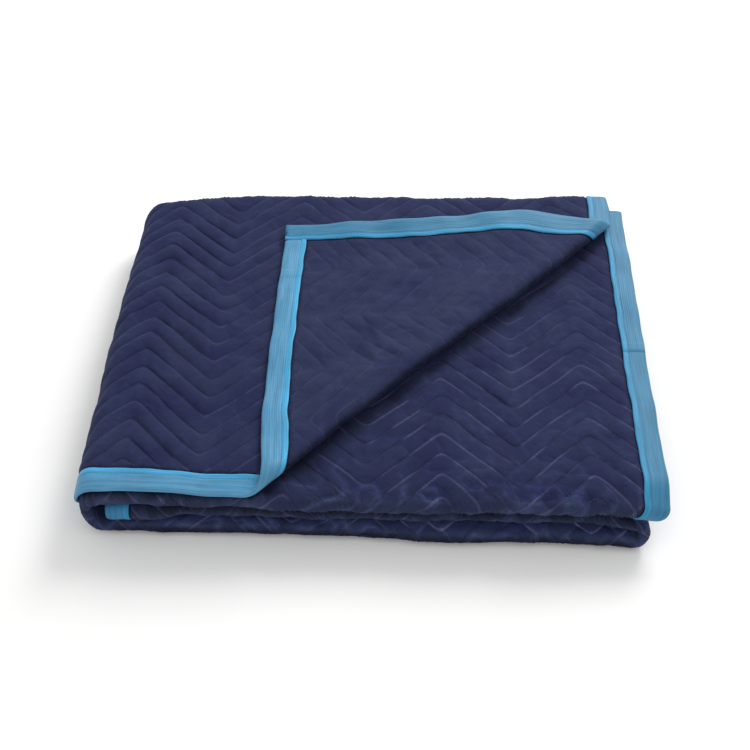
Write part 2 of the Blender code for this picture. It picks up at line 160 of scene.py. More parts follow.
# At each x: how far the front edge drops, and how far back it lies
FRONT_SLUMP = table("x drop back", (
    (0.00, 0.006, 0.001), (0.05, 0.004, 0.003), (0.10, 0.003, 0.003), (0.20, 0.007, 0.004),
    (0.26, 0.003, -0.001), (0.35, 0.007, 0.000), (0.52, 0.004, 0.000), (0.60, 0.006, 0.000),
    (0.66, 0.010, 0.000), (0.69, 0.014, -0.002),
))
SLUMP_FROM = 0.042
SLUMP_RUN = 0.045
TOP_WAVES = (Wave(0.0012, 0.47, 0.90, 0.4), Wave(0.0009, 0.80, 0.38, 2.1))
SIDE_WAVES = (Wave(0.0012, 9.0, 0.53, 1.57),)
# At each x: how far the back edge reaches out
BACK_LINE = table("x reach", (
    (-0.01, -0.024), (0.02, -0.018), (0.05, -0.010), (0.09, -0.001), (0.15, 0.003), (0.22, 0.004),
    (0.27, 0.000), (0.40, 0.003), (0.55, 0.006), (0.62, 0.013), (0.70, 0.014),
))
SIDE_SKEW = 0.009
LEFT_TUCK = 0.006
LEFT_TUCK_WIDE = 0.100

# %% [markdown]
# ## The folds, as a rule for every point
#
# A point of the flat sheet goes through three folds in the order a person makes them: the corner is turned
# back, the sheet is folded in thirds front to back, and the strip is folded in thirds left to right. A cloth
# simulation could drape one layer, but here nine layers have to land where the solids are. A rule puts them
# there, and it serves the sheet, its tapes and every stitch alike.


# %% Fold the corner and the sheet's depth
def smooth(share):
    share = np.clip(share, 0.0, 1.0)
    return share * share * (3 - 2 * share)


def ease(place, start, run):
    """Nothing at start and one a run further on. A run below nothing eases the other way."""
    return smooth((place - start) / run)


def look_up(rows, place, field):
    """A table's value at a place, which its first column gives, straight from row to row."""
    return np.interp(place, [row[0] for row in rows], [getattr(row, field) for row in rows])


def half_turn(place, start, run):
    """The angle round a fold: nothing before it and half a turn after it."""
    return np.clip((place - start) / run, 0, 1) * math.pi


def between(place, low, high):
    return (place > low) & (place < high)


def along_strip(u, field):
    """A section value at u, eased from one station of the strip to the next."""
    stations = [row.u for row in SECTIONS]
    values = np.array([getattr(row, field) for row in SECTIONS])
    after = np.clip(np.searchsorted(stations, u, side="right"), 1, len(stations) - 1)
    start = np.take(stations, after - 1)
    share = smooth((u - start) / (np.take(stations, after) - start))
    return values[after - 1] + (values[after] - values[after - 1]) * share


def turn_corner(u, v, w):
    """Turns the front right corner of the outer layer back over a roll along the 45 degree crease."""
    past = (CORNER_LEG - (u + v)) * DIAGONAL
    on_corner = (past > 0) & (v < V_BACK)
    foot_u = u + past * DIAGONAL
    foot_v = v + past * DIAGONAL
    along = np.clip(1 - foot_u / CORNER_LEG, 0, 1)
    radius = CORNER_RADIUS_FRONT + (CORNER_RADIUS_BACK - CORNER_RADIUS_FRONT) * along
    angle = half_turn(past, 0, CORNER_TURN)
    beyond = np.maximum(past - CORNER_TURN, 0)
    lie = smooth(beyond / CORNER_RAMP)
    reach = (radius - w) * np.sin(angle) - beyond
    lift = 2 * radius * (1 - lie) + PITCH * lie
    height = np.where(beyond > 0, lift - w, radius - (radius - w) * np.cos(angle))
    new_u = foot_u - reach * DIAGONAL
    new_v = foot_v - reach * DIAGONAL
    across = np.clip((CORNER_LEG - new_u) / CORNER_LEG, 0, 1)
    bow = CORNER_BOW * np.sin(math.pi * across**3) * lie * np.clip(new_v / CORNER_LEG, 0, 1) ** 2
    shift = CORNER_SHIFT * lie
    curl = CORNER_LIFT * lie * np.clip(1 - u / CORNER_LIFT_WIDE, 0, 1.1) ** 1.5
    curl = curl * (CURL_LEAST + (1 - CURL_LEAST) * smooth(across / CURL_FULL_BY))
    return (
        np.where(on_corner, new_u + shift, u),
        np.where(on_corner, new_v + bow - shift, v),
        np.where(on_corner, height + curl, w),
    )


def fold_front_to_back(u, v, w):
    """Depth y, height in the strip, and how far right that layer's end hem lies."""
    hem_y = along_strip(u, "hem_y")
    radius = along_strip(u, "roll_radius")
    roll_height = along_strip(u, "roll_height")
    roll_y = along_strip(u, "roll_y")
    outer_y = hem_y + v / OUTER_RUN * (BACK_CENTRE_Y - hem_y)
    back_angle = half_turn(v, V_BACK, BACK_TURN)
    back_y = BACK_CENTRE_Y + (PITCH + w) * np.sin(back_angle)
    back_height = PITCH + (PITCH + w) * np.cos(back_angle)
    lining_y = BACK_CENTRE_Y - (v - V_LINING) / INNER_RUN * (BACK_CENTRE_Y - roll_y)
    lining_sag = ease(lining_y, SAG_FROM, roll_y - SAG_FROM) * (roll_height - radius)
    roll_angle = half_turn(v, V_ROLL, ROLL_TURN)
    front_y = roll_y - (radius + w) * np.sin(roll_angle)
    front_height = roll_height - (radius + w) * np.cos(roll_angle)
    tucked_y = roll_y + (v - V_TUCKED)
    tucked_sag = ease(tucked_y, SAG_FROM, roll_y - SAG_FROM) * (roll_height + radius - PITCH)
    stage = [v < V_BACK, v < V_LINING, v < V_ROLL, v < V_TUCKED]
    y = np.select(stage, [outer_y, back_y, lining_y, front_y], tucked_y)
    heights = [2 * PITCH + w, back_height, lining_sag - w, front_height]
    height = np.select(stage, heights, PITCH + w + tucked_sag)
    to_lining = (1 - np.cos(back_angle)) / 2
    to_tucked = (1 - np.cos(roll_angle)) / 2
    hem_x = OUTER_HEM_X + (LINING_HEM_X - OUTER_HEM_X) * to_lining
    hem_x = hem_x + (TUCKED_HEM_X - LINING_HEM_X) * to_tucked
    return y, height, hem_x


# %% Fold the strip's width and let the stack settle
def fold_left_to_right(u, height, hem_x):
    """Width x and height z of the strip folded round its left and right ends."""
    left_angle = half_turn(u, U_LEFT, U_BASE - U_LEFT)
    right_angle = half_turn(u, U_RIGHT, U_MIDDLE - U_RIGHT)
    left_reach = 2 * PITCH + height
    right_reach = PITCH / 2 + height
    span = RIGHT_CENTRE_X - LEFT_CENTRE_X
    stage = [u < U_LEFT, u < U_BASE, u < U_RIGHT, u < U_MIDDLE]
    held = 1 - ease(u, OFFSET_HELD, U_LEFT - OFFSET_HELD)
    across = [
        OUTER_HEM_X + (LEFT_CENTRE_X - OUTER_HEM_X) * u / U_LEFT + (hem_x - OUTER_HEM_X) * held,
        LEFT_CENTRE_X - FOLD_FLATTEN_LEFT * left_reach * np.sin(left_angle),
        LEFT_CENTRE_X + span * (u - U_BASE) / (U_RIGHT - U_BASE),
        RIGHT_CENTRE_X + FOLD_FLATTEN_RIGHT * right_reach * np.sin(right_angle),
    ]
    up = [
        6 * PITCH + height,
        4 * PITCH + left_reach * np.cos(left_angle),
        2 * PITCH - height,
        2.5 * PITCH - right_reach * np.cos(right_angle),
    ]
    x = np.select(stage, across, RIGHT_CENTRE_X - (u - U_MIDDLE))
    return x, np.select(stage, up, 3 * PITCH + height) + HALF


def waves(rows, x, y):
    total = np.zeros_like(x)
    for row in rows:
        total += row.size * np.sin(2 * math.pi * (x / row.across + y / row.deep) + row.phase)
    return total


def settle(x, y, z):
    """Lets the stack slump and skew a little, keeping its underside on the ground plane."""
    share_x = x / TUCKED_HEM_X
    share_y = y / FOLDED_DEPTH
    at_front = ease(y, SLUMP_FROM, -SLUMP_RUN)
    drop = at_front * look_up(FRONT_SLUMP, x, "drop")
    back = at_front * look_up(FRONT_SLUMP, x, "back")
    rise = waves(TOP_WAVES, x, y) - drop
    new_z = z * (1 + rise / STACK_HEIGHT)
    new_x = x - SIDE_SKEW * share_x * (1 - share_y) + waves(SIDE_WAVES, x, y) * (1 - share_x)
    new_x = new_x + LEFT_TUCK * (1 - z / STACK_HEIGHT) * np.clip(1 - x / LEFT_TUCK_WIDE, 0, 1.2)
    new_y = y + back * z / STACK_HEIGHT + share_y**5 * look_up(BACK_LINE, x, "reach")
    return new_x - MIDDLE_X, new_y - MIDDLE_Y, new_z


# %% [markdown]
# ## Rumple
#
# Used cloth is never as even as its folds. A few slow waves, each under a millimetre high, are added on top
# of the folded shape. The upward ones grow with height, so the underside still lies flat. Everything on the
# blanket goes through the same waves, so tapes and stitches stay on the cloth.

# %% Rumple and the whole fold
RUMPLE_UP = (
    Wave(0.0008, 0.118, 0.310, 0.7),
    Wave(0.0007, 0.210, -0.094, 2.0),
    Wave(0.0004, 0.071, 0.083, 4.1),
)
RUMPLE_SIDE = (Wave(0.0004, 3.0, 0.121, 0.9), Wave(0.0003, 2.0, 0.053, 2.6))
RUMPLE_DEEP = (Wave(0.0006, 0.143, 3.0, 1.9), Wave(0.0004, 0.061, 2.0, 5.0))


def lie_folded(points):
    u, v, w = np.asarray(points, float).T
    u, v, w = turn_corner(u, v, w)
    y, height, hem_x = fold_front_to_back(u, v, w)
    x, z = fold_left_to_right(u, height, hem_x)
    x, y, z = settle(x, y, z)
    lifted = z * (1 + waves(RUMPLE_UP, x, y) / STACK_HEIGHT)
    shifted = x + waves(RUMPLE_SIDE, z, y)
    return np.stack([shifted, y + waves(RUMPLE_DEEP, x, z), lifted], axis=1)


# %% [markdown]
# ## Colours and nodes
#
# Colours are read as sRGB hex values, and the shader wants linear light, so one function converts them. One
# more function adds a node with its settings and its links, for materials and for Geometry Nodes alike. A
# third starts a material. What is the same all over a surface goes on the shader's own sockets, because a
# linked value can be lost in an export.


# %% Helpers
MATH, RAMP, NOISE, MIX = "ShaderNodeMath", "ShaderNodeMapRange", "ShaderNodeTexNoise", "ShaderNodeMix"
IN_COLOUR = {"give": 2, "data_type": "RGBA"}
EASED = {"interpolation_type": "SMOOTHSTEP"}


def linear(code):
    """An sRGB hex colour as linear RGBA."""
    shares = [int(code[at : at + 2], 16) / 255 for at in (1, 3, 5)]
    return (*[s / 12.92 if s <= 0.04045 else ((s + 0.055) / 1.055) ** 2.4 for s in shares], 1.0)


def add_node(tree, kind, inputs=(), give=0, **settings):
    """Adds a node with its properties, sets or links its inputs by name or in order, and gives one output.

    With give=None it gives the node itself.
    """
    made = tree.nodes.new(kind)
    for name, value in settings.items():
        setattr(made, name, value)
    named = inputs if isinstance(inputs, dict) else dict(enumerate(inputs))
    for key, value in named.items():
        if isinstance(value, bpy.types.NodeSocket):
            tree.links.new(value, made.inputs[key])
        else:
            made.inputs[key].default_value = value
    return made if give is None else made.outputs[give]


def start_material(name, finish):
    material = bpy.data.materials.new(name)
    material.use_nodes = True
    shader = material.node_tree.nodes["Principled BSDF"]
    for socket, value in finish.items():
        shader.inputs[socket].default_value = value
    return material, material.node_tree, shader


def add_object(name, data):
    """Puts a mesh, light or camera in the scene, at the origin."""
    made = bpy.data.objects.new(name, data)
    bpy.context.scene.collection.objects.link(made)
    return made


def threads(tree, measure, apart):
    """A wave along one measure of the cloth, with a turn for each thread drawn."""
    turns = add_node(tree, MATH, (measure, 2 * math.pi / apart), operation="MULTIPLY")
    return add_node(tree, MATH, (turns,), operation="SINE")


def tint(tree, shader, colour, tone):
    """Makes a colour lighter or darker from place to place, and gives it to the shader."""
    tinted = add_node(tree, "ShaderNodeVectorMath", {0: colour, "Scale": tone}, operation="SCALE")
    tree.links.new(tinted, shader.inputs["Base Color"])


# %% [markdown]
# ## Woven polycotton shell
#
# The faces are plain-woven polycotton, dyed navy and never shiny. Its fibres stand up a little, which gives a
# pale lavender haze where the surface turns away from the eye: that is the sheen. The real threads are about
# 0.5 mm apart, too fine to show from a step away, so the weave is drawn at 1.3 mm.
#
# Beside each seam the cloth is painted darker, painted shade for the groove the seam pulls in, and its
# thread looks pale in stretches, drawn about 2 mm wide where the real one is 0.5 mm, so that they show.
# Wrinkles finer than the mesh are ridged noise, as bump and as a faint tint, which is a painted highlight on
# their ridges.
# The cloth isn't worn or shaded alike everywhere, so the mesh holds how much each point is rubbed, how much
# painted shade and painted light it takes, how wrinkled it is and how plainly its thread shows, and the
# material reads those values.

# %% Navy cloth
WEAVE_DRAWN = 0.0013
PUCKER_DRAWN = 0.0075
BLOTCH = 0.050
STRETCH = 0.065
WRINKLE = 0.034
FLECKS_PER_METRE = 900.0
SHELL_FINISH = {
    "Roughness": 0.88,
    "Sheen Weight": 0.105,
    "Sheen Roughness": 0.45,
    "Specular IOR Level": 0.12,
}
SHELL_HELD = ("stitch_row", "rubbed", "seam_seen", "painted_shade_and_light", "wrinkled")


def woven_shell(name, deep, pale, seam_pale, haze):
    material, tree, shader = start_material(name, {**SHELL_FINISH, "Sheen Tint": linear(haze)})
    add = partial(add_node, tree)
    flat = add("ShaderNodeUVMap", uv_map="flat_cloth")
    held = [add("ShaderNodeAttribute", give="Fac", attribute_name=title) for title in SHELL_HELD]
    row, worn, seen, painted_shading, squeezed = held

    # How near the seam is: 0 on it and 0.5 on the crest of the row
    seam = add(MATH, (row, 0.5), operation="PINGPONG")
    beside = add(RAMP, (seam, 0.02, 0.14, 1.0, 0.0), **EASED)
    on_seam = add(RAMP, (seam, 0.02, 0.09, 0.85, 0.0), **EASED)

    # Colour: the dye, faded in patches and where it is rubbed, with pale stretches of thread
    blotch = add(NOISE, {"Vector": flat, "Scale": 1 / BLOTCH, "Detail": 3.0})
    patches = add(RAMP, (blotch, 0.30, 0.70, 0.0, 0.55))
    fade = add(MATH, (worn, 0.60, patches), operation="MULTIPLY_ADD")
    dyed = add(MIX, {0: fade, 6: linear(deep), 7: linear(pale)}, **IN_COLOUR)
    stretch = add(NOISE, {"Vector": flat, "Scale": 1 / STRETCH, "Detail": 2.0})
    thread = add(RAMP, (stretch, 0.45, 0.54, 0.10, 1.0))
    for share in (seen, on_seam):
        thread = add(MATH, (thread, share), operation="MULTIPLY")
    lined = add(MIX, {0: thread, 6: dyed, 7: linear(seam_pale)}, **IN_COLOUR)

    # Shade: painted shade beside a seam, flecked by fibres, a painted highlight on wrinkle ridges, and the
    # mesh's painted shade and light
    # Painted shade beside each seam, deeper where its thread shows, for the groove the seam pulls in
    seam_painted_shade = add(MATH, (seen, -0.24, -0.06), operation="MULTIPLY_ADD")
    shade = add(MATH, (beside, seam_painted_shade, 1.0), operation="MULTIPLY_ADD")
    fibre = add(NOISE, {"Vector": flat, "Scale": FLECKS_PER_METRE, "Detail": 2.0})
    flecks = add(RAMP, (fibre, 0.3, 0.7, 0.82, 1.18))
    ridged = {"Vector": flat, "Scale": 1 / WRINKLE, "Detail": 3.0, "Offset": 1.0, "Gain": 1.0}
    ridges = add(NOISE, {**ridged, "Distortion": 0.15}, noise_type="RIDGED_MULTIFRACTAL")
    # Painted highlight on the ridges of fine wrinkles, with a little painted shade between them, as strong as
    # the mesh says
    lit = add(RAMP, (ridges, 0.92, 1.50, -0.12, 0.68))
    lit = add(MATH, (lit, squeezed, 1.0), operation="MULTIPLY_ADD")
    # The mesh's painted shade darkens the colour where it is positive, and its painted light lightens it
    # where negative
    painted_shading_factor = add(MATH, (painted_shading, -0.75, 1.0), operation="MULTIPLY_ADD")
    for share in (flecks, lit, painted_shading_factor):
        shade = add(MATH, (shade, share), operation="MULTIPLY")
    tint(tree, shader, lined, shade)

    # Relief: the threads, the puckers over them, and the wrinkles over both
    across = add("ShaderNodeSeparateXYZ", (flat,), give=None).outputs[:2]
    weave = add(MATH, [threads(tree, axis, WEAVE_DRAWN) for axis in across], operation="MULTIPLY")
    pucker = add(NOISE, {"Vector": flat, "Scale": 1 / PUCKER_DRAWN, "Detail": 2.0})
    bumps = []
    layers = ((weave, 0.35, 0.00012), (pucker, 0.80, 0.0012), (ridges, squeezed, 0.0040))
    for height, strength, deepest in layers:
        relief = {"Height": height, "Strength": strength, "Distance": deepest}
        bumps.append(add("ShaderNodeBump", relief, give=None))
    for under, over in zip(bumps, [*bumps[1:], shader]):
        tree.links.new(under.outputs[0], over.inputs["Normal"])
    return material


navy = woven_shell("woven_polycotton_navy", "#202548", "#2F3752", "#5C5F86", "#9FA0D8")
print("navy cloth:", len(navy.node_tree.nodes), "nodes")

# %% [markdown]
# ## Woven binding tape
#
# The edge is bound with a 56 mm polypropylene tape folded in half over the cloth. It is woven with lengthwise
# ribs and has a soft gloss. Its inner margin is turned under and sewn down, so two layers lie there and the
# stripe looks cleaner and brighter, while the outer part is rubbed and a little grey. The ribs and the
# threads across them are drawn 2.6 and 1.6 mm apart, coarser than on the real tape, so that they show. The
# same cloth comes in three tints: its own, paled by sunlight, on top; a darker copy in painted shade on the
# short edge; and a darker, deeper copy in painted shade on the inner edge, which lies in shadow.

# %% Sky blue tape
RIB_DRAWN = 0.0026
PICK_DRAWN = 0.0016
SEAM_INSET = 0.0212
MARGIN_FROM, MARGIN_TO = SEAM_INSET - 0.001, SEAM_INSET + 0.0012
STREAKS_PER_METRE = (18.0, 260.0, 1.0)
RUBS_PER_METRE = 60.0
TAPE_FINISH = {"Roughness": 0.52, "Sheen Weight": 0.06, "Specular IOR Level": 0.25}


def woven_tape(name, body, worn, margin):
    material, tree, shader = start_material(name, TAPE_FINISH)
    add = partial(add_node, tree)
    flat = add("ShaderNodeUVMap", uv_map="tape_run")
    along, inset = add("ShaderNodeSeparateXYZ", (flat,), give=None).outputs[:2]
    rub = add(NOISE, {"Vector": flat, "Scale": RUBS_PER_METRE, "Detail": 4.0})
    wear = add(RAMP, (rub, 0.35, 0.70, 0.0, 0.65))
    dyed = add(MIX, {0: wear, 6: linear(body), 7: linear(worn)}, **IN_COLOUR)
    turned = add(RAMP, (inset, MARGIN_FROM, MARGIN_TO), **EASED)
    striped = add(MIX, {0: turned, 6: dyed, 7: linear(margin)}, **IN_COLOUR)
    long_way = add("ShaderNodeMapping", {"Vector": flat, "Scale": STREAKS_PER_METRE})
    streak = add(NOISE, {"Vector": long_way, "Scale": 1.0, "Detail": 3.0})
    tint(tree, shader, striped, add(RAMP, (streak, 0.3, 0.7, 0.80, 1.17)))
    ribs, picks = threads(tree, inset, RIB_DRAWN), threads(tree, along, PICK_DRAWN)
    cross = add(MATH, (picks, 0.35, ribs), operation="MULTIPLY_ADD")
    woven = add("ShaderNodeBump", {"Height": cross, "Strength": 0.5, "Distance": 0.00015})
    tree.links.new(woven, shader.inputs["Normal"])
    return material


sky = woven_tape("woven_polypropylene_sky", "#498CB4", "#5E92B1", "#449ECB")
# The same tape in painted shade: darker for the short edge, and darker and deeper for the inner edge in
# shadow
sky_in_painted_shade = woven_tape("woven_polypropylene_sky_painted_shade", "#35789D", "#427B99", "#3389B4")
sky_in_painted_deep_shade = woven_tape("woven_polypropylene_sky_painted_deep_shade", "#2C74A0", "#35799D", "#2985B4")
print("tape:", len(sky.node_tree.nodes), "nodes")

# %% [markdown]
# ## Sewing thread
#
# The thread is spun polyester: short fibres twisted together, so it is matt and never glints. It is a shade
# paler than the cloth it holds, and a slow noise makes some stretches more worn than others.


# %% Thread
THREAD_FINISH = {"Roughness": 0.8, "Specular IOR Level": 0.15}
AGE_PER_METRE = 17.0


def spun_thread(name, colour):
    material, tree, shader = start_material(name, THREAD_FINISH)
    add = partial(add_node, tree)
    place = add("ShaderNodeTexCoord", give="Object")
    age = add(NOISE, {"Vector": place, "Scale": AGE_PER_METRE, "Detail": 3.0})
    tint(tree, shader, linear(colour)[:3], add(RAMP, (age, 0.35, 0.65, 0.70, 1.15)))
    return material


quilt_thread = spun_thread("spun_polyester_lavender", "#373B64")
tape_thread = spun_thread("spun_polyester_sky", "#529CC3")
print("thread:", quilt_thread.name, tape_thread.name)

# %% [markdown]
# ## Rows of chevrons
#
# Quilting needles sew all the rows at once, so every row has the same zigzag, one above the other. The turn
# of a zigzag is rounded, because the machine swings over a few stitches. A mesh whose lines run along the
# chevrons shows crisp seams with few faces, so the grid is sheared: its columns are straight and its rows
# follow the zigzag, with lines drawn closer together beside each seam.

# %% Chevron rule
HALF_WAVE = 0.0885
FIRST_PEAK_U = 0.0845
ROW = 0.0287
FIRST_ROW_V = 0.0500
RISE = 0.081
ROUNDING = 0.988
STEPS_ROW = (0.0, 0.04, 0.14, 0.30, 0.50, 0.70, 0.86, 0.96)
STEPS_LEG = 24
BLOCK = 6
FIT_ROUNDS = 4
WANDER = (Wave(0.0008, 0.23, 0.41, 1.3), Wave(0.0005, 0.11, -0.17, 0.4))


def zigzag(u):
    """How far back the stitch lines stand at u, with rounded turns."""
    from_peak = np.arccos(ROUNDING * np.cos(math.pi * (u - FIRST_PEAK_U) / HALF_WAVE)) / math.pi
    return RISE * (1 - from_peak)


def row_at(u, v):
    """Which row a point lies in: a whole number on a seam."""
    return (v - FIRST_ROW_V - zigzag(u) - waves(WANDER, u, v)) / ROW


def lattice():
    """Columns u, rows, and the place v of every crossing."""
    legs = int((FLAT_U - FIRST_PEAK_U) / HALF_WAVE) + 1
    u = FIRST_PEAK_U + HALF_WAVE * (np.arange(legs * STEPS_LEG + 1) / STEPS_LEG - 1)
    u[0], u[-1] = 0.0, FLAT_U
    low = math.floor((-FIRST_ROW_V - RISE) / ROW) - 1
    high = math.ceil((FLAT_V - FIRST_ROW_V) / ROW) + 1
    rows = np.array([whole + step for whole in range(low, high) for step in STEPS_ROW] + [float(high)])
    straight = FIRST_ROW_V + ROW * rows[None, :] + zigzag(u)[:, None]
    v = straight
    for _ in range(FIT_ROUNDS):
        v = straight + waves(WANDER, np.broadcast_to(u[:, None], v.shape), v)
    return u, rows, v


grid_u, grid_rows, grid_v = lattice()
print("grid", grid_v.shape, "rows", grid_rows[0], "to", grid_rows[-1])

# %% [markdown]
# ## Where the cloth is fine and where it is plain
#
# Nine layers lie in the stack and most of them can't be seen. The grid is kept in blocks of 6 columns by one
# row. A block in view is fully divided, one inside a fold is divided across the fold, and a hidden one stays
# a single face. Where a fine block meets a plain one, the plain face takes the extra points on its border,
# so the mesh has no cracks.


# %% Blocks in view
PAST_FOLD = 0.020

# How far the fine blocks reach. A sum is u + v, which is the same all along a 45 degree line
FINE_ROLL, FINE_RIGHT = (V_ROLL - 0.030, V_TUCKED + 0.035), (U_RIGHT - 0.015, U_MIDDLE + 0.015)
FINE_TOP_U, FINE_CORNER_SUM = U_BASE + 0.012, CORNER_LEG + 0.030
FINE_TUCKED_U, FINE_TUCKED_SUM = 0.500, CORNER_LEG + 0.060
COVERED_U, COVERED_V = 0.430, 0.415
CREASE_SUM, CREASE_REACH = CORNER_LEG - 0.018, 0.045


def blocks_in_view(side):
    """Which blocks of one side are divided along u, and which along v."""
    middle_u = (grid_u[:-1:BLOCK][:, None] + grid_u[BLOCK::BLOCK][:, None]) / 2
    steps = len(STEPS_ROW)
    v = grid_v[BLOCK // 2 :: BLOCK, steps // 2 :: steps]
    u = np.broadcast_to(middle_u[: v.shape[0]], v.shape)
    back_fold = between(v, V_BACK - PAST_FOLD, V_LINING + PAST_FOLD)
    front_roll = between(v, *FINE_ROLL)
    if side < 0:
        fine = u + v < FINE_CORNER_SUM
        return fine, fine | back_fold | front_roll
    under_corner = (u < COVERED_U) & (v < COVERED_V)
    crease = np.abs(u + v - CREASE_SUM) < CREASE_REACH
    on_top_layers = v < V_LINING + PAST_FOLD
    outer = on_top_layers & (u < FINE_TOP_U) & ~(under_corner & ~crease)
    right_fold = between(u, *FINE_RIGHT) & on_top_layers
    tucked = (v > V_TUCKED) & (u < FINE_TUCKED_U) & (u + v - V_TUCKED < FINE_TUCKED_SUM)
    fine = back_fold | front_roll | outer | right_fold | tucked
    return fine, fine


def side_faces(side):
    """Faces of one side, as loops of (column, line) pairs, with the borders of fine blocks carried over."""
    fine_u, fine_v = blocks_in_view(side)
    steps = len(STEPS_ROW)
    count_u, count_v = fine_u.shape
    faces = []

    def divided(flags, i, j):
        return 0 <= i < count_u and 0 <= j < count_v and bool(flags[i, j])

    for i in range(count_u):
        for j in range(count_v):
            columns = list(range(i * BLOCK, (i + 1) * BLOCK + 1, 1 if fine_u[i, j] else BLOCK))
            lines = list(range(j * steps, (j + 1) * steps + 1, 1 if fine_v[i, j] else steps))
            for a, b in zip(columns[:-1], columns[1:]):
                for c, d in zip(lines[:-1], lines[1:]):
                    low_edge = range(a, b) if c == lines[0] and divided(fine_u, i, j - 1) else [a]
                    high_edge = range(b, a, -1) if d == lines[-1] and divided(fine_u, i, j + 1) else [b]
                    right = range(c, d) if b == columns[-1] and divided(fine_v, i + 1, j) else [c]
                    left = range(d, c, -1) if a == columns[0] and divided(fine_v, i - 1, j) else [d]
                    loop = [(k, c) for k in low_edge] + [(b, k) for k in right]
                    loop += [(k, d) for k in high_edge] + [(a, k) for k in left]
                    faces.append(loop if side > 0 else loop[::-1])
    return faces


# %% Close the rim and clip the grid
RIM_LINES = (EDGE_FLAT - 0.0005, EDGE_FULL + 0.0002)
CUT_CLOSE = 1e-6
ON_RIM = 1e-5


def flat_sheet():
    """Both sides of the sheet in the flat, cut to size and joined round the rim."""
    bm = bmesh.new()
    for side in (1, -1):
        made = {}
        for loop in side_faces(side):
            for key in loop:
                if key not in made:
                    made[key] = bm.verts.new((grid_u[key[0]], grid_v[key], side * HALF))
            bm.faces.new([made[key] for key in loop])
    cuts = [((0, 0, 0), (0, -1, 0), True), ((0, FLAT_V, 0), (0, 1, 0), True)]
    for inset in RIM_LINES:
        cuts += [((inset, 0, 0), (1, 0, 0), False), ((FLAT_U - inset, 0, 0), (1, 0, 0), False)]
        cuts += [((0, inset, 0), (0, 1, 0), False), ((0, FLAT_V - inset, 0), (0, 1, 0), False)]
    for point, normal, clear in cuts:
        everything = bm.verts[:] + bm.edges[:] + bm.faces[:]
        cut = {"dist": CUT_CLOSE, "plane_co": point, "plane_no": normal, "clear_outer": clear}
        bmesh.ops.bisect_plane(bm, geom=everything, **cut)
    loose = [vert for vert in bm.verts if not vert.link_faces]
    bmesh.ops.delete(bm, geom=loose, context="VERTS")
    rim = [vert for vert in bm.verts if vert.is_boundary]
    for axis, place in ((1, 0.0), (0, FLAT_U), (1, FLAT_V), (0, 0.0)):
        on = [vert for vert in rim if abs(vert.co[axis] - place) < ON_RIM]
        on.sort(key=lambda vert: vert.co[1 - axis])
        top, low = ([vert for vert in on if vert.co.z * side > 0] for side in (1, -1))
        zip_edges(bm, top, low, 1 - axis)
    bmesh.ops.triangulate(bm, faces=[face for face in bm.faces if len(face.verts) > 4])
    bmesh.ops.recalc_face_normals(bm, faces=bm.faces[:])
    return bm


def zip_edges(bm, top, low, axis):
    """Fills the strip between two rows of points that don't match one to one."""
    i = j = 0
    while i < len(top) - 1 or j < len(low) - 1:
        last_low = j == len(low) - 1
        if last_low or (i < len(top) - 1 and top[i + 1].co[axis] <= low[j + 1].co[axis]):
            bm.faces.new((top[i], top[i + 1], low[j]))
            i += 1
        else:
            bm.faces.new((top[i], low[j + 1], low[j]))
            j += 1


# %% [markdown]
# ## Puffed rows
#
# Between two seams the wadding pushes the cloth up, steeply beside the seam and flat on the crest. The power
# of a sine gives that section. Small cross wrinkles start at the seams, where the thread gathers the cloth.
# The top layer hangs free and puffs the most. The layer that was tucked under is pressed, so its rows are
# low with narrow grooves, and so are the rows of the turned corner. The rolls at the front are squeezed and
# wrinkle instead. Under the tape and on the ground the cloth is flat. Handling has also left short creases,
# which are listed one by one: each is a soft trough, or a ridge where the rise is positive, along a line on
# the flat sheet.

# %% Creases listed one by one
CREASE = "u v end_u end_v wide rise"
LAYER_CREASES = table(CREASE, (
    (216, 1241, 180, 1201, 3.5, -1.6), (239, 1173, 207, 1144, 3.5, -1.5), (222, 1090, 197, 1068, 4, -2.1),
    (183, 1123, 166, 1110, 3, 1.5), (379, 1100, 355, 1076, 4, -2), (378, 1152, 351, 1129, 3.5, -1.4),
    (424, 1081, 388, 1109, 4.5, 1.5), (511, 399, 480, 420, 3.5, -1.5), (497, 373, 473, 387, 3.5, -1.4),
    (504, 249, 472, 276, 3.5, -1.1), (586, 44, 555, 75, 4, 1.3), (575, 243, 540, 209, 3.5, -1.5),
    (405, 1076.5, 330, 1075.5, 3, -1.2), (322, 1076, 250, 1077.5, 3, -1.4),
    (244, 1076.5, 205, 1079, 3, -1.4), (220, 1091, 200, 1073, 3, -1.6), (197, 1081, 180, 1073, 3, -1.2),
    (342, 1087, 332, 1074, 2.8, -1.3), (377, 1121, 348, 1096, 2.5, -1.3), (189, 1097, 178, 1082, 3, 1.2),
    (98, 1074, 81, 1080, 3, -1.4), (79, 1079, 64, 1073, 3, 1.3), (152, 1073, 128, 1074.5, 3.5, -1.6),
    (1072, 1050, 1095, 1061, 2.8, 1.6), (1079, 1049, 1094, 1056, 2.6, -1.4),
    (1015, 1051, 1024, 1059, 2.8, 1.4), (1251, 1061, 1269, 1061, 2.8, 1.3),
    (1299, 1063.5, 1310.5, 1056.5, 2.8, 1.5), (1328, 1063.5, 1344, 1056.5, 2.8, 1.5),
    (1260, 1052, 1277, 1055, 3, -1.5), (1088, 1058, 1145, 1058.5, 3, -1.4),
    (1168, 1061, 1185, 1053.5, 2.8, 1.4), (869, 1050, 898, 1053.5, 3, -1.4),
    (915, 1057, 949, 1053.5, 2.8, 1.3), (812, 1053.5, 829, 1059, 3, -1.4),
), per_metre=1000)
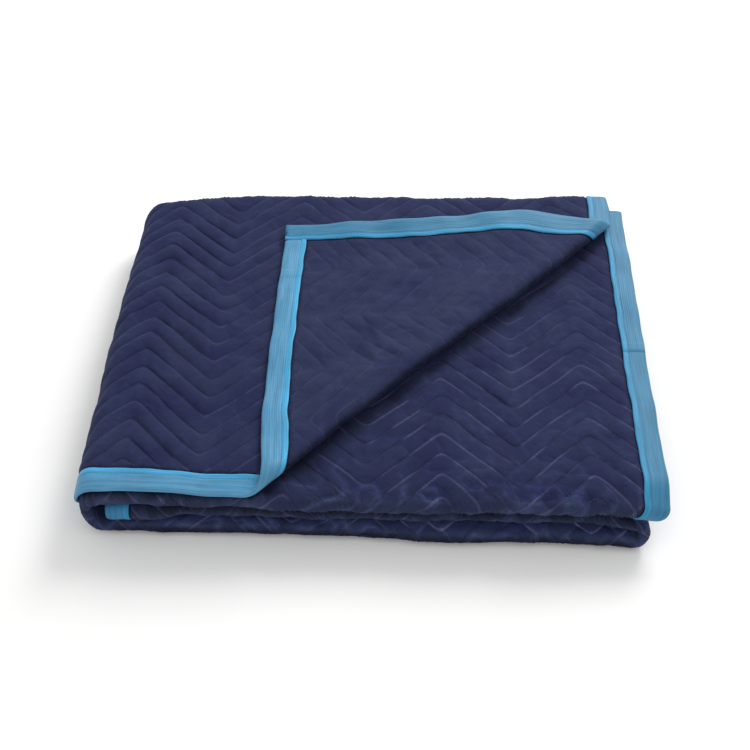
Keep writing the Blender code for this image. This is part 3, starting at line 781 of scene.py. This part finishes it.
CORNER_CREASES = table(CREASE, (
    (180, 115, 245, 137, 4.5, -2), (223, 102, 258, 125, 4.5, -1.6), (190, 60, 228, 89, 5, -1.6),
    (231, 52, 259, 69, 4.5, -1.3), (327, 83, 291, 106, 4.5, 1.4), (355, 59, 316, 93, 5, 1.6),
    (198, 130, 255, 160, 4, 1.4), (40, 188, 70, 208, 4, -1.5), (64, 200, 93, 220, 3.5, -1.3),
    (143, 69, 172, 91, 4, -1.2), (141, 30, 202, 43, 5, -1.3),
), per_metre=1000)

# %% Relief
Puff = namedtuple("Puff", "height crest")
TUCKED_LAYER = Puff(0.0008, 0.40)
TURNED_CORNER = Puff(0.0006, 0.55)
FRONT_ROLLS = Puff(0.0006, 0.50)
TOP_LAYER = table("u height crest", (
    (0.480, 0.0007, 0.50), (0.520, 0.0009, 0.60), (0.545, 0.0018, 0.50), (0.600, 0.0018, 0.50),
    (0.640, 0.0013, 0.55), (0.680, 0.0008, 0.60),
))
# Cross wrinkles at the seams: the length and height of each kind, and what shifts them from row to row
PUCKERS = ((0.0230, 0.00022), (0.0370, 0.00026), (0.0610, 0.00022))
PUCKER_SHIFT, PUCKER_SHIFT_BY_LENGTH = 7.13, 190
# Uneven crests: a share, with its turn from row to row and along a metre of row
UNEVEN_CRESTS = ((0.26, 2.4, 21), (0.20, 5.1, -47))
ROLL_WRINKLES = (
    Wave(0.0006, 0.043, 0.031, 0.6),
    Wave(0.0007, 0.113, -0.024, 2.2),
    Wave(0.0003, 0.019, 0.047, 4.0),
)
PRESSED_SMOOTH = 0.75
CORNER_WRINKLES = (Wave(0.0005, 0.083, 0.061, 1.0), Wave(0.0004, 0.047, -0.110, 3.3))
LEG_SLOPE = RISE / HALF_WAVE
CREASE_FADES = 0.3
OVER_BASE = (U_LEFT + 0.050, U_MIDDLE - 0.015)
FRONT_OF_ROLL = (V_ROLL + V_TUCKED) / 2
UNDER_CORNER = 0.014

# Where a change starts on the flat sheet, and the run it takes
LEAVES_TAPE = (EDGE_FULL, 0.006)
LEAVES_LEFT = (U_BASE - 0.024, -0.018)
LEAVES_RIGHT = (U_RIGHT + 0.010, 0.012)
LEAVES_BACK = (V_BACK + 0.008, 0.008)
LEAVES_CREASE = (CORNER_TURN, 0.016)
ROLL_STARTS, ROLL_ENDS = (V_ROLL - 0.030, 0.020), (V_TUCKED + 0.026, -0.020)
LOW_STARTS, LOW_ENDS = (FRONT_OF_ROLL - 0.004, 0.010), (V_TUCKED + 0.030, -0.010)
BACK_STARTS, TUCKED_STARTS = (V_BACK - 0.016, 0.016), (V_TUCKED, 0.020)


def edge_distance(u, v):
    return np.minimum.reduce([u, FLAT_U - u, v, FLAT_V - v])


def pressed(u, v, w):
    """How much of its relief a point keeps: none under the tape, on the ground and inside the crease."""
    free = [ease(u, *LEAVES_LEFT), ease(u, *LEAVES_RIGHT), ease(v, *LEAVES_BACK)]
    ground = between(u, U_LEFT, U_MIDDLE) & (v < V_LINING) & (w > 0)
    keep = ease(edge_distance(u, v), *LEAVES_TAPE) * np.where(ground, np.maximum.reduce(free), 1)
    underside = np.where(v < V_BACK, ease((CORNER_LEG - u - v) * DIAGONAL, *LEAVES_CREASE), 0)
    hidden = (np.maximum(u, v) < CORNER_LEG - UNDER_CORNER) & (w > 0)
    return keep * np.where(w < 0, underside, np.where(hidden, 0, 1))


def at_front_roll(v):
    return ease(v, *ROLL_STARTS) * ease(v, *ROLL_ENDS)


def over_base(u):
    """The bottom layers, with the rounds of their folds."""
    return between(u, *OVER_BASE)


def near_floor(u, v):
    """The low half of the bottom layers' roll, which the stack's weight has pressed smooth."""
    return ease(v, *LOW_STARTS) * ease(v, *LOW_ENDS) * over_base(u)


def by_place(u, v, w, field):
    """A puff's value at a point of the flat sheet, eased from one part of the sheet to the next."""
    low = getattr(TUCKED_LAYER, field)
    tucked = ease(v, *TUCKED_STARTS)
    top = look_up(TOP_LAYER, u, field)
    top = top + (low - top) * ease(v, *BACK_STARTS) * (1 - tucked)
    value = top * (1 - tucked) + low * tucked
    value = value + (getattr(FRONT_ROLLS, field) - value) * at_front_roll(v)
    return np.where((w < 0) & (v < V_BACK), getattr(TURNED_CORNER, field), value)


def creased(rows, u, v):
    """Soft troughs and ridges along short lines on the flat sheet, fading out at their ends."""
    total = np.zeros_like(u)
    for row in rows:
        run = math.hypot(row.end_u - row.u, row.end_v - row.v)
        way_u, way_v = (row.end_u - row.u) / run, (row.end_v - row.v) / run
        along = ((u - row.u) * way_u + (v - row.v) * way_v) / run
        aside = ((v - row.v) * way_u - (u - row.u) * way_v) / row.wide
        ends = smooth(along / CREASE_FADES + 0.5) * smooth((1 - along) / CREASE_FADES + 0.5)
        total += row.rise * ends * np.exp(-(aside**2))
    return total


def patchy(mean, rows, x, y):
    """A mean with a few sines added: each row gives a share, and its turn along x and along y."""
    total = np.full_like(x, mean)
    for share, by_x, by_y in rows:
        total += share * np.sin(by_x * x + by_y * y)
    return total


def puff(u, v, w):
    """Height of the quilting over the sheet's even level, in metres."""
    row = row_at(u, v)
    inside = row - np.floor(row)
    crest = np.sin(math.pi * inside) ** by_place(u, v, w, "crest")
    along = u * math.sqrt(1 + LEG_SLOPE**2)
    number = np.floor(row)
    uneven = patchy(1, UNEVEN_CRESTS, number, along)
    gather = np.zeros_like(u)
    for length, size in PUCKERS:
        phase = number * (PUCKER_SHIFT + PUCKER_SHIFT_BY_LENGTH * length)
        gather += size * np.sin(2 * math.pi * along / length + phase)
    small = waves(ROLL_WRINKLES, u, v) * at_front_roll(v)
    turned = waves(CORNER_WRINKLES, u, v) + creased(CORNER_CREASES, u, v)
    small = small + np.where(w < 0, turned, creased(LAYER_CREASES, u, v))
    total = by_place(u, v, w, "height") * (-1 + 2 * crest * uneven) + gather * crest + small
    return total * (1 - PRESSED_SMOOTH * near_floor(u, v))


def sheet_surface(u, v, w):
    """The level of the cloth's face above the sheet's middle."""
    full = np.clip((edge_distance(u, v) - EDGE_FLAT) / (EDGE_FULL - EDGE_FLAT), 0, 1)
    half = EDGE_HALF + (HALF - EDGE_HALF) * full
    return np.sign(w) * (half + puff(u, v, w) * pressed(u, v, w))

# %% [markdown]
# ## Wear, painted shade and painted light
#
# A blanket that has been used isn't one even blue. It is rubbed grey on the outer edges of its folds, and the
# thread is worn pale where the cloth has slid on other things. Painted shade darkens it in the gaps between
# the front rolls, at the foot of the crease and under its roll, under the hem, beside the tape and low on the
# bottom roll, and painted light brightens the top of the bottom roll. Each of these is a rule on the flat
# sheet, and the mesh holds its values, because a noise alone can't tell a fold from a face.

# %% Wear, painted shade and painted light
# A pair is a start and a run, as above. The other values are strengths, and widths in metres
# Shade is painted at the crease's foot, in the mouths between rolls, by the tape and hem, and on the bottom
# roll, which also takes painted light
CREASE_FOOT = 0.461
FOOT_NARROW, FOOT_WIDER = 0.0095, 0.0060
FOOT_WIDENS = (0.28, 0.12)
BELOW_CREASE = (CORNER_TURN * 0.80, -0.008)
BOTTOM_ROLL_FROM, BOTTOM_ROLL_TO = (U_BASE, 0.030), (U_RIGHT + 0.010, -0.020)
UNDERNEATH = (V_ROLL - 0.001, 0.014)
BESIDE_TAPE = (0.0325, -0.003)
HEM_SHADE, HEM_SHADE_FROM = (V_TUCKED - 0.0085, 0.0065), (CREASE_FOOT, 0.012)
MOUTH_UNDER_TOP, MOUTH_OVER_MIDDLE, MOUTH_DEEP = (-0.003, -0.005), (-0.001, 0.005), 0.030
MOUTH_SHADE_PAINTED, TAPE_SHADE_PAINTED, HEM_SHADE_PAINTED = 0.95, 0.7, 1.3
PAINTED_SHADE_MEAN, PAINTED_SHADE_PATCHES = 0.78, ((0.14, 71, -53), (0.08, 190, -230))
UNDER_SWING = 2.2

LINING_RUB, FRONT_RUB, LEFT_RUB, BACK_RUB = 0.5, 1.3, 0.3, 0.4
FRONT_RUB_WIDE, LEFT_RUB_WIDE, BACK_RUB_WIDE = 0.010, 0.030, 0.012
FRONT_RUB_FULL, BACK_RUB_AT = 1.6, BACK_TURN * 0.3

SEEN_TOP, SEEN_CORNER, SEEN_LOST, SEEN_LOST_FROM = 0.40, 0.20, 0.6, (V_TUCKED + 0.10, 0.25)
WRINKLED_TOP, WRINKLED_CORNER, WRINKLED_ROLLS, WRINKLED_TUCKED = 0.16, 0.17, 0.85, 0.20
WRINKLED_BEHIND, BEHIND_ROLL = 0.16, (V_TUCKED + 0.120, -0.100)


def rubbed_grey(u, v, w):
    """How far each point is rubbed: the lining face a little, and the outer edges of the folds more."""
    lining = np.where(w < 0, LINING_RUB, 0.0)
    front = at_front_roll(v) * smooth(FRONT_RUB_FULL - np.abs(v - FRONT_OF_ROLL) / FRONT_RUB_WIDE)
    left = smooth(1 - np.abs(u - U_LEFT - LEFT_WRAP) / LEFT_RUB_WIDE)
    back = smooth(1 - np.abs(v - V_BACK - BACK_RUB_AT) / BACK_RUB_WIDE)
    return np.clip(lining + FRONT_RUB * front + LEFT_RUB * left + BACK_RUB * back, 0, 1)


def painted_shade_and_light(u, v, w):
    """Painted shade where positive: in folds and by the crease, hem and tape. Painted light where negative.
    """
    # Painted shade on the tucked layer, in a band along the foot of the crease
    on_tucked = (w > 0) & (v > V_TUCKED)
    foot_wide = FOOT_NARROW + FOOT_WIDER * ease(u, *FOOT_WIDENS)
    foot = np.exp(-(((u + v - V_TUCKED - CREASE_FOOT) / foot_wide) ** 2)) * on_tucked
    # Painted shade on the underside of the crease's roll
    below_crease = ease((CORNER_LEG - u - v) * DIAGONAL, *BELOW_CREASE) * ((w < 0) & (v < V_BACK))
    # Painted shade in the gaps between the front rolls
    from_front = v - FRONT_OF_ROLL
    under_top = ease(from_front, *MOUTH_UNDER_TOP) * (u < U_LEFT)
    over_middle = ease(from_front, *MOUTH_OVER_MIDDLE) * (u > U_MIDDLE)
    mouth = (under_top + over_middle) * (np.abs(from_front) < MOUTH_DEEP)
    # Painted shade in a line beside the tape and under the top layer's hem
    beside_tape = ease(edge_distance(u, v), *BESIDE_TAPE)
    under_hem = ease(v, *HEM_SHADE) * ease(u, *HEM_SHADE_FROM)
    under_hem = under_hem * ((u < U_LEFT + PAST_FOLD) & (w > 0) & (v < V_TUCKED + PAST_FOLD))
    painted_dark = foot + below_crease + MOUTH_SHADE_PAINTED * mouth + TAPE_SHADE_PAINTED * beside_tape + HEM_SHADE_PAINTED * under_hem
    painted_dark = painted_dark * patchy(PAINTED_SHADE_MEAN, PAINTED_SHADE_PATCHES, u, v)
    # The bottom roll: painted light on its upper part, and painted shade on its lowest part by the floor
    on_bottom_roll = at_front_roll(v) * ease(u, *BOTTOM_ROLL_FROM) * ease(u, *BOTTOM_ROLL_TO)
    return np.clip(painted_dark + (UNDER_SWING * ease(v, *UNDERNEATH) - 1.0) * on_bottom_roll, -1, 1)


def seam_seen(u, v, w):
    """How pale the thread looks: worn bare on the tucked layer, and sunk out of sight on the corner."""
    tucked = 1.0 - SEEN_LOST * ease(v, *SEEN_LOST_FROM)
    top = np.where(v > V_ROLL - PAST_FOLD, tucked, SEEN_TOP)
    return np.where(w < 0, SEEN_CORNER, top)


# It sets the strength of the wrinkles' bump and of their painted highlight
def wrinkled(u, v, w):
    """How strongly small wrinkles show: most on the squeezed rolls, less on the flat faces."""
    tucked = WRINKLED_TUCKED + WRINKLED_BEHIND * ease(v, *BEHIND_ROLL)
    outer = np.where(v > V_ROLL - PAST_FOLD, tucked, WRINKLED_TOP)
    return np.where(w < 0, WRINKLED_CORNER, outer + (WRINKLED_ROLLS - outer) * at_front_roll(v))


# %% Make the quilted sheet
def finished(name, bm, flat, uv_name, uv, material, **held):
    """Folds a flat mesh, gives it its map and held values, and turns it the right way out.

    The sheet's long side runs from right to left, so folding makes a mirror image of it.
    """
    mesh = bpy.data.meshes.new(name)
    bmesh.ops.reverse_faces(bm, faces=bm.faces[:])
    bm.to_mesh(mesh)
    bm.free()
    mesh.vertices.foreach_set("co", lie_folded(flat).ravel())
    loops = np.empty(len(mesh.loops), dtype=np.int32)
    mesh.loops.foreach_get("vertex_index", loops)
    layer = mesh.uv_layers.new(name=uv_name)
    layer.data.foreach_set("uv", np.asarray(uv, dtype=np.float32)[loops].ravel())
    for title, values in held.items():
        mesh.attributes.new(title, "FLOAT", "POINT").data.foreach_set("value", values.astype(np.float32))
    mesh.materials.append(material)
    mesh.shade_smooth()
    mesh.update()
    made = add_object(name, mesh)
    triangles = sum(len(face.vertices) - 2 for face in mesh.polygons)
    lowest = min(vert.co.z for vert in mesh.vertices)
    print(f"{name}: {len(mesh.vertices)} points, {triangles} triangles, lowest {lowest * 1000:.2f} mm")
    return made


sheet_bm = flat_sheet()
flat_points = np.array([vert.co[:] for vert in sheet_bm.verts])
flat_points[:, 2] = sheet_surface(*flat_points.T)
held = {"stitch_row": row_at(*flat_points.T[:2])}
rules = {"rubbed": rubbed_grey, "painted_shade_and_light": painted_shade_and_light, "seam_seen": seam_seen, "wrinkled": wrinkled}
for title, rule in rules.items():
    held[title] = rule(*flat_points.T)
flat_map = flat_points[:, :2]
quilt = finished("quilted_cloth", sheet_bm, flat_points, "flat_cloth", flat_map, navy, **held)

# %% [markdown]
# ## Folded tape
#
# The tape is a thin strip folded in half over the edge. Its section is drawn once as a closed outline and
# swept along the flat edge, close together where it will bend. The turned-under margin stands a little
# proud, with a dip where the seam pulls it down. Where one length of tape ends and the next begins, the
# lengths overlap.

# %% Tape section
TAPE_TOP = table("inset height", (
    (0.0280, HALF - 0.0009), (0.0282, HALF - 0.0001), (0.0277, HALF + 0.00045), (0.0258, HALF + 0.00055),
    (0.0232, HALF + 0.00050), (0.0219, HALF + 0.00020), (SEAM_INSET, HALF - 0.00020),
    (0.0205, HALF + 0.00005), (0.0180, HALF + 0.00015), (0.0140, HALF + 0.00005), (0.0100, HALF + 0.00010),
    (0.0060, HALF), (0.0030, HALF - 0.00020), (0.0006, HALF - 0.00085), (-0.0010, HALF - 0.00180),
    (-NOSE, 0.0),
))
TAPE_INSIDE = table("inset height", (
    (-0.0004, 0.0), (0.0004, EDGE_HALF + 0.0003), (0.0100, EDGE_HALF + BINDING_GAP),
    (0.0276, EDGE_HALF + BINDING_GAP),
))


def tape_outline():
    """Points round the section: over the top, round the nose, back underneath, and along the inside."""
    top = list(TAPE_TOP)
    under = [p._replace(height=-p.height) for p in reversed(top[:-1])]
    inside_low = [p._replace(height=-p.height) for p in reversed(TAPE_INSIDE)]
    return top + under + inside_low + list(TAPE_INSIDE[1:])


# %% Tape runs
TapeRun = namedtuple("TapeRun", "name node along fixed inward start end joins dye")
SIDE_END = BINDING_WIDE + BUTT_GAP
# The short edge and the inner edge take the tape in painted shade
TAPES = (
    TapeRun("tape_right", "binding_right", 1, 0.0, 1, -NOSE, FLAT_V + NOSE, (1.300,), sky_in_painted_shade),
    TapeRun("tape_inner", "binding_inner", 1, FLAT_U, -1, -NOSE, FLAT_V + NOSE, (0.610,), sky_in_painted_deep_shade),
    TapeRun("tape_front", "binding_front", 0, 0.0, 1, SIDE_END, FLAT_U - SIDE_END, (0.085, 1.240), sky),
    TapeRun("tape_tucked", "binding_tucked", 0, FLAT_V, -1, SIDE_END, FLAT_U - SIDE_END, (0.900,), sky),
)
TAPE_STEP = 0.006
BEND_STEP = 0.0022
JOIN_STEP = 0.0007
CLOSEST = 0.0005
PAST_BEND = 0.004
BEFORE_CREASE, AFTER_CREASE = 0.030, 0.008
LAP = 0.016
LAP_EASE = 0.002
LAP_THICK = 0.0006


def stations(run):
    """Places along the tape, closer together in the bends and at the joins."""
    places = list(np.arange(run.start, run.end, TAPE_STEP)) + [run.end]
    bends = ((V_BACK, V_LINING), (V_ROLL, V_TUCKED)) if run.along else ((U_LEFT, U_BASE), (U_RIGHT, U_MIDDLE))
    for low, high in bends:
        places += list(np.arange(low - PAST_BEND, high + PAST_BEND, BEND_STEP))
    for join in run.joins:
        places += [join - JOIN_STEP, join, join + JOIN_STEP, join + LAP - LAP_EASE, join + LAP]
    if run.name in ("tape_front", "tape_right"):
        crease = CORNER_LEG - CORNER_TURN / DIAGONAL
        places += list(np.arange(crease - BEFORE_CREASE, CORNER_LEG + AFTER_CREASE, BEND_STEP))
    places = np.unique(np.round([p for p in places if run.start <= p <= run.end], 5))
    kept = [places[0]]
    for place in places[1:-1]:
        if place - kept[-1] > CLOSEST and run.end - place > CLOSEST:
            kept.append(place)
    return np.array(kept + [run.end])


def on_ground(u, v):
    """Where the outer face of the cloth lies on the ground."""
    return over_base(u) & (v < V_LINING)


def tape_lift(run, along):
    """Extra thickness where one length of tape laps over the next."""
    total = np.zeros_like(along)
    for join in run.joins:
        rise = smooth((along - join) / JOIN_STEP)
        fall = smooth((join + LAP - along) / LAP_EASE)
        total += LAP_THICK * rise * fall
    return total


# %% Sweep the tapes
BUCKLE, BUCKLE_TURN = 0.00012, 230
WANDERS = ((0.0004, 71, 0), (0.0003, 163, 1))
OVER_GROUND = 0.0002


def make_tape(run):
    outline = tape_outline()
    inset = np.array([p.inset for p in outline])
    height = np.array([p.height for p in outline])
    outer = len(TAPE_TOP) * 2 - 1
    places = stations(run)
    wander = sum(size * np.sin(places * turn + phase) for size, turn, phase in WANDERS)
    grown = np.clip(inset / BINDING_WIDE, 0, 1)
    inset_all = inset[None, :] + wander[:, None] * grown[None, :]
    outwards = np.where(np.arange(len(outline)) < outer, np.sign(height), 0)[None, :]
    buckle = BUCKLE * np.sin(places * BUCKLE_TURN)[:, None] * grown[None, :]
    height_all = height[None, :] + (tape_lift(run, places)[:, None] + buckle) * outwards
    edge = run.fixed + run.inward * inset_all
    along = np.broadcast_to(places[:, None], edge.shape)
    u, v = (edge, along) if run.along else (along, edge)
    height_all = np.where(on_ground(u, v), np.minimum(height_all, HALF - OVER_GROUND), height_all)
    flat = np.stack([u.ravel(), v.ravel(), height_all.ravel()], axis=1)
    uv = np.stack([along.ravel(), inset_all.ravel()], axis=1)
    bm = bmesh.new()
    verts = [bm.verts.new(point) for point in flat]
    ring = len(outline)
    for k in range(len(places) - 1):
        for j in range(ring):
            here, after = k * ring + j, k * ring + (j + 1) % ring
            bm.faces.new((verts[here], verts[after], verts[after + ring], verts[here + ring]))
    caps = [bm.faces.new(verts[:ring]), bm.faces.new(verts[-ring:])]
    bmesh.ops.triangulate(bm, faces=caps)
    bmesh.ops.recalc_face_normals(bm, faces=bm.faces[:])
    return finished(run.name, bm, flat, "tape_run", uv, run.dye)


tapes = {run.name: make_tape(run) for run in TAPES}

# %% [markdown]
# ## Stitches with Geometry Nodes
#
# A stitch is a short length of thread that dips into the cloth at both ends. There are thousands, all alike,
# so a node tree sets one along a path again and again: it spaces points along the seam, turns a small
# spindle to lie along the seam with its flat side on the cloth, and makes the copies real. The same tree
# sews the quilting and the tapes, with its own spacing and thread for each. The thread is drawn 1 mm thick in
# the quilting and 0.7 mm in the tapes, coarser than it is, so that it shows.


# %% Stitch tree
def stitch_tree():
    tree = bpy.data.node_groups.new("run_of_stitches", "GeometryNodeTree")
    face = tree.interface
    face.new_socket("Geometry", in_out="INPUT", socket_type="NodeSocketGeometry")
    for name, value in (("Spacing", 0.005), ("Stitch length", 0.004), ("Thread width", 0.0008)):
        face.new_socket(name, in_out="INPUT", socket_type="NodeSocketFloat").default_value = value
    face.new_socket("Seed", in_out="INPUT", socket_type="NodeSocketInt").default_value = 3
    face.new_socket("Thread", in_out="INPUT", socket_type="NodeSocketMaterial")
    face.new_socket("Geometry", in_out="OUTPUT", socket_type="NodeSocketGeometry")
    add = partial(add_node, tree)
    given = add("NodeGroupInput", give=None).outputs
    path = add("GeometryNodeMeshToCurve", (given["Geometry"],))
    spaced = {"Curve": path, "Length": given["Spacing"]}
    points = add("GeometryNodeResampleCurve", spaced, mode="LENGTH")
    up = add("GeometryNodeInputNamedAttribute", {"Name": "up"}, data_type="FLOAT_VECTOR")
    tangent = add("GeometryNodeInputTangent")
    axes = {"primary_axis": "Z", "secondary_axis": "X"}
    turn = add("FunctionNodeAxesToRotation", (up, tangent), **axes)
    bead = add("GeometryNodeMeshIcoSphere", {"Radius": 1.0, "Subdivisions": 1})
    sizes = (given["Stitch length"], given["Thread width"])
    length, width = (add(MATH, (size, 0.5), operation="MULTIPLY") for size in sizes)
    size = add("ShaderNodeCombineXYZ", (length, width, width))
    spindle = add("GeometryNodeTransform", {"Geometry": bead, "Scale": size})
    limits = {0: (0.82, 0.85, 0.7), 1: (1.12, 1.15, 1.1), "Seed": given["Seed"]}
    vary = add("FunctionNodeRandomValue", limits, data_type="FLOAT_VECTOR")
    copies = {"Points": points, "Instance": spindle, "Rotation": turn, "Scale": vary}
    sewn = add("GeometryNodeInstanceOnPoints", copies)
    real = add("GeometryNodeRealizeInstances", (sewn,))
    soft = add("GeometryNodeSetShadeSmooth", (real,))
    done = add("GeometryNodeSetMaterial", {0: soft, "Material": given["Thread"]})
    add("NodeGroupOutput", (done,), give=None)
    return tree


stitches = stitch_tree()
print("stitch tree:", len(stitches.nodes), "nodes")


# %% Sew along paths
FEEL_ABOVE = 0.0004


def sew(name, paths, material, **inputs):
    """Runs the stitch tree along folded paths, each a list of flat points (u, v, w)."""
    flat = np.concatenate(paths)
    place = lie_folded(flat)
    above = flat.copy()
    above[:, 2] += np.sign(flat[:, 2]) * FEEL_ABOVE
    up = lie_folded(above) - place
    up /= np.linalg.norm(up, axis=1, keepdims=True)
    edges, start = [], 0
    for path in paths:
        edges += [(start + k, start + k + 1) for k in range(len(path) - 1)]
        start += len(path)
    mesh = bpy.data.meshes.new(name)
    mesh.from_pydata(place.tolist(), edges, [])
    held_up = mesh.attributes.new("up", "FLOAT_VECTOR", "POINT")
    held_up.data.foreach_set("vector", up.astype(np.float32).ravel())
    guide = add_object(name + "_guide", mesh)
    sewing = guide.modifiers.new("sewing", "NODES")
    sewing.node_group = stitches
    named = {item.name: item.identifier for item in stitches.interface.items_tree if item.in_out == "INPUT"}
    sewing[named["Thread"]] = material
    for key, value in inputs.items():
        sewing[named[key.replace("_", " ").capitalize()]] = value
    seen = guide.evaluated_get(bpy.context.evaluated_depsgraph_get())
    real = bpy.data.meshes.new_from_object(seen)
    guide.modifiers.remove(sewing)
    bpy.data.objects.remove(guide, do_unlink=True)
    real.name = name
    made = add_object(name, real)
    print(f"{name}: {len(paths)} runs, {len(real.polygons)} faces")
    return made


# %% Quilting seams in view
THREAD_OVER = 0.00024
THREAD_SINKS = 0.00030
SUNK, SUNK_PAST_ROLL = 0.95, 0.55
SEWN_INSIDE = BINDING_WIDE + 0.002
SEWN_TOP_U, SEWN_CORNER_SUM = U_BASE - 0.024, CORNER_LEG - 0.045
SEWN_TUCKED_U, SEWN_TUCKED_SUM = 0.480, CORNER_LEG + 0.010
SEWN_ROLL, SEWN_BACK = (V_ROLL - 0.004, V_TUCKED + 0.006), (V_BACK + 0.006, V_LINING)
SEWN_RIGHT = (U_RIGHT + 0.010, U_MIDDLE)
HIDDEN_U, HIDDEN_V = CORNER_LEG - 0.020, CORNER_LEG - 0.030


def runs_of(flags, points):
    """Cuts a line of points into the stretches where the flags hold."""
    stretches = [[]]
    for flag, point in zip(flags, points):
        if flag:
            stretches[-1].append(point)
        elif stretches[-1]:
            stretches.append([])
    return [np.array(stretch) for stretch in stretches if len(stretch) > 2]


def quilting_paths():
    steps = len(STEPS_ROW)
    found = []
    for side in (1, -1):
        for line in range(0, len(grid_rows), steps):
            u, v = grid_u, grid_v[:, line]
            w = np.full_like(u, side * HALF)
            inside = edge_distance(u, v) > SEWN_INSIDE
            under = (u < HIDDEN_U) & (v < HIDDEN_V)
            if side > 0:
                outer = (v < V_LINING) & (u < SEWN_TOP_U) & ~under
                rolls = between(v, *SEWN_ROLL)
                backs = between(v, *SEWN_BACK)
                ends = between(u, *SEWN_RIGHT) & (v < V_LINING)
                tucked = (v > V_TUCKED) & (u < SEWN_TUCKED_U) & (u + v - V_TUCKED < SEWN_TUCKED_SUM)
                shown = inside & (outer | rolls | backs | ends | tucked)
            else:
                shown = inside & (u + v < SEWN_CORNER_SUM) & (v < V_BACK)
            sunk = np.where(v > V_ROLL, SUNK_PAST_ROLL, SUNK) if side > 0 else SUNK
            level = sheet_surface(u, v, w) + side * (THREAD_OVER - THREAD_SINKS * sunk)
            found += runs_of(shown, np.stack([u, v, level], axis=1))
    return found


QUILTING = {"spacing": 0.0047, "stitch_length": 0.0053, "thread_width": 0.0010, "seed": 11}
quilting = sew("quilting_stitches", quilting_paths(), quilt_thread, **QUILTING)


# %% Tape seams
SEAM_OVER = 0.00005


def tape_paths():
    found = []
    for run in TAPES:
        places = np.arange(run.start + TAPE_STEP, run.end - TAPE_STEP, TAPE_STEP / 2)
        edge = np.full_like(places, run.fixed + run.inward * SEAM_INSET)
        for side in (1, -1):
            height = side * (HALF + SEAM_OVER) + side * tape_lift(run, places)
            u, v = (edge, places) if run.along else (places, edge)
            free = ~on_ground(u, v) if side > 0 else np.full_like(places, True)
            found += runs_of(free, np.stack([u, v, height], axis=1))
    return found


TOPSTITCH = {"spacing": 0.0042, "stitch_length": 0.0034, "thread_width": 0.0007, "seed": 5}
tape_seams = sew("tape_stitches", tape_paths(), tape_thread, **TOPSTITCH)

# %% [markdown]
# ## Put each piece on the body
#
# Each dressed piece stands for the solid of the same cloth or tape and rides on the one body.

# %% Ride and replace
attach(quilt, "root")
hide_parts("quilted_sheet")
for run in TAPES:
    piece = tapes[run.name]
    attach(piece, "root")
    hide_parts(run.node)
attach(quilting, "root")
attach(tape_seams, "root")

# %% [markdown]
# ## Floor, light and camera
#
# A plain pale floor and a large softbox low at the back right: its light grazes the rows that run down to
# the right and leaves the front in shade, so the rows and the edges of the layers show. The white room
# fills the shadows. The camera looks down at about 50 degrees from the front.

# %% Floor and light
FLOOR_HALF = 9
ROOM_LIGHT = 0.77
scene = bpy.context.scene
scene.view_settings.view_transform = "Standard"
floor_mesh = bpy.data.meshes.new("studio_floor")
corners = [(x * FLOOR_HALF, y * FLOOR_HALF, 0) for x, y in ((-1, -1), (1, -1), (1, 1), (-1, 1))]
floor_mesh.from_pydata(corners, [], [(0, 1, 2, 3)])
floor = add_object("studio_floor", floor_mesh)
paper = start_material("matt_paper", {"Base Color": linear("#FBFBFA"), "Roughness": 0.95})[0]
floor_mesh.materials.append(paper)

world = bpy.data.worlds.new("white_studio")
scene.world = world
world.use_nodes = True
backdrop = world.node_tree.nodes.get("Background") or world.node_tree.nodes.new("ShaderNodeBackground")
backdrop.inputs["Color"].default_value = (1.0, 1.0, 1.0, 1.0)
backdrop.inputs["Strength"].default_value = ROOM_LIGHT


def soft_light(name, place, size, power):
    """A square softbox that faces the blanket, which lies at the origin."""
    lamp = bpy.data.lights.new(name, "AREA")
    lamp.energy = power
    lamp.size = size
    made = add_object(name, lamp)
    made.location = place
    made.rotation_euler = (-Vector(place)).to_track_quat("-Z", "Y").to_euler()


KEY_AZIMUTH = math.radians(62)
KEY_HEIGHT = math.radians(38)
KEY_AWAY = 3.6
KEY_SIZE = 1.5
KEY_WATTS = 93
key_place = (
    KEY_AWAY * math.cos(KEY_AZIMUTH) * math.cos(KEY_HEIGHT),
    KEY_AWAY * math.sin(KEY_AZIMUTH) * math.cos(KEY_HEIGHT),
    KEY_AWAY * math.sin(KEY_HEIGHT),
)
soft_light("key_softbox", key_place, KEY_SIZE, KEY_WATTS)
print("key light at", [round(axis, 2) for axis in key_place])

# %% Camera
CAMERA_AT = (0.3726, -0.6246, 1.0254)
LOOK_DOWN = 0.8649
LOOK_ASIDE = -0.0340
LEAN = -0.0089
FOCAL_MM = 48.1
SENSOR_MM = 36.0


def aim_camera():
    level = math.cos(LOOK_DOWN)
    forward = Vector((math.sin(LOOK_ASIDE) * level, math.cos(LOOK_ASIDE) * level, -math.sin(LOOK_DOWN)))
    flat_right = Vector((math.cos(LOOK_ASIDE), -math.sin(LOOK_ASIDE), 0.0))
    flat_up = flat_right.cross(forward)
    right = math.cos(LEAN) * flat_right + math.sin(LEAN) * flat_up
    up = -math.sin(LEAN) * flat_right + math.cos(LEAN) * flat_up
    place = Vector(CAMERA_AT) - Vector((MIDDLE_X, MIDDLE_Y, 0.0))
    rows = [(right[k], up[k], -forward[k], place[k]) for k in range(3)]
    return Matrix((*rows, (0.0, 0.0, 0.0, 1.0)))


lens = bpy.data.cameras.new("camera")
lens.lens = FOCAL_MM
lens.sensor_width = SENSOR_MM
camera = add_object("camera", lens)
camera.matrix_world = aim_camera()
scene.camera = camera
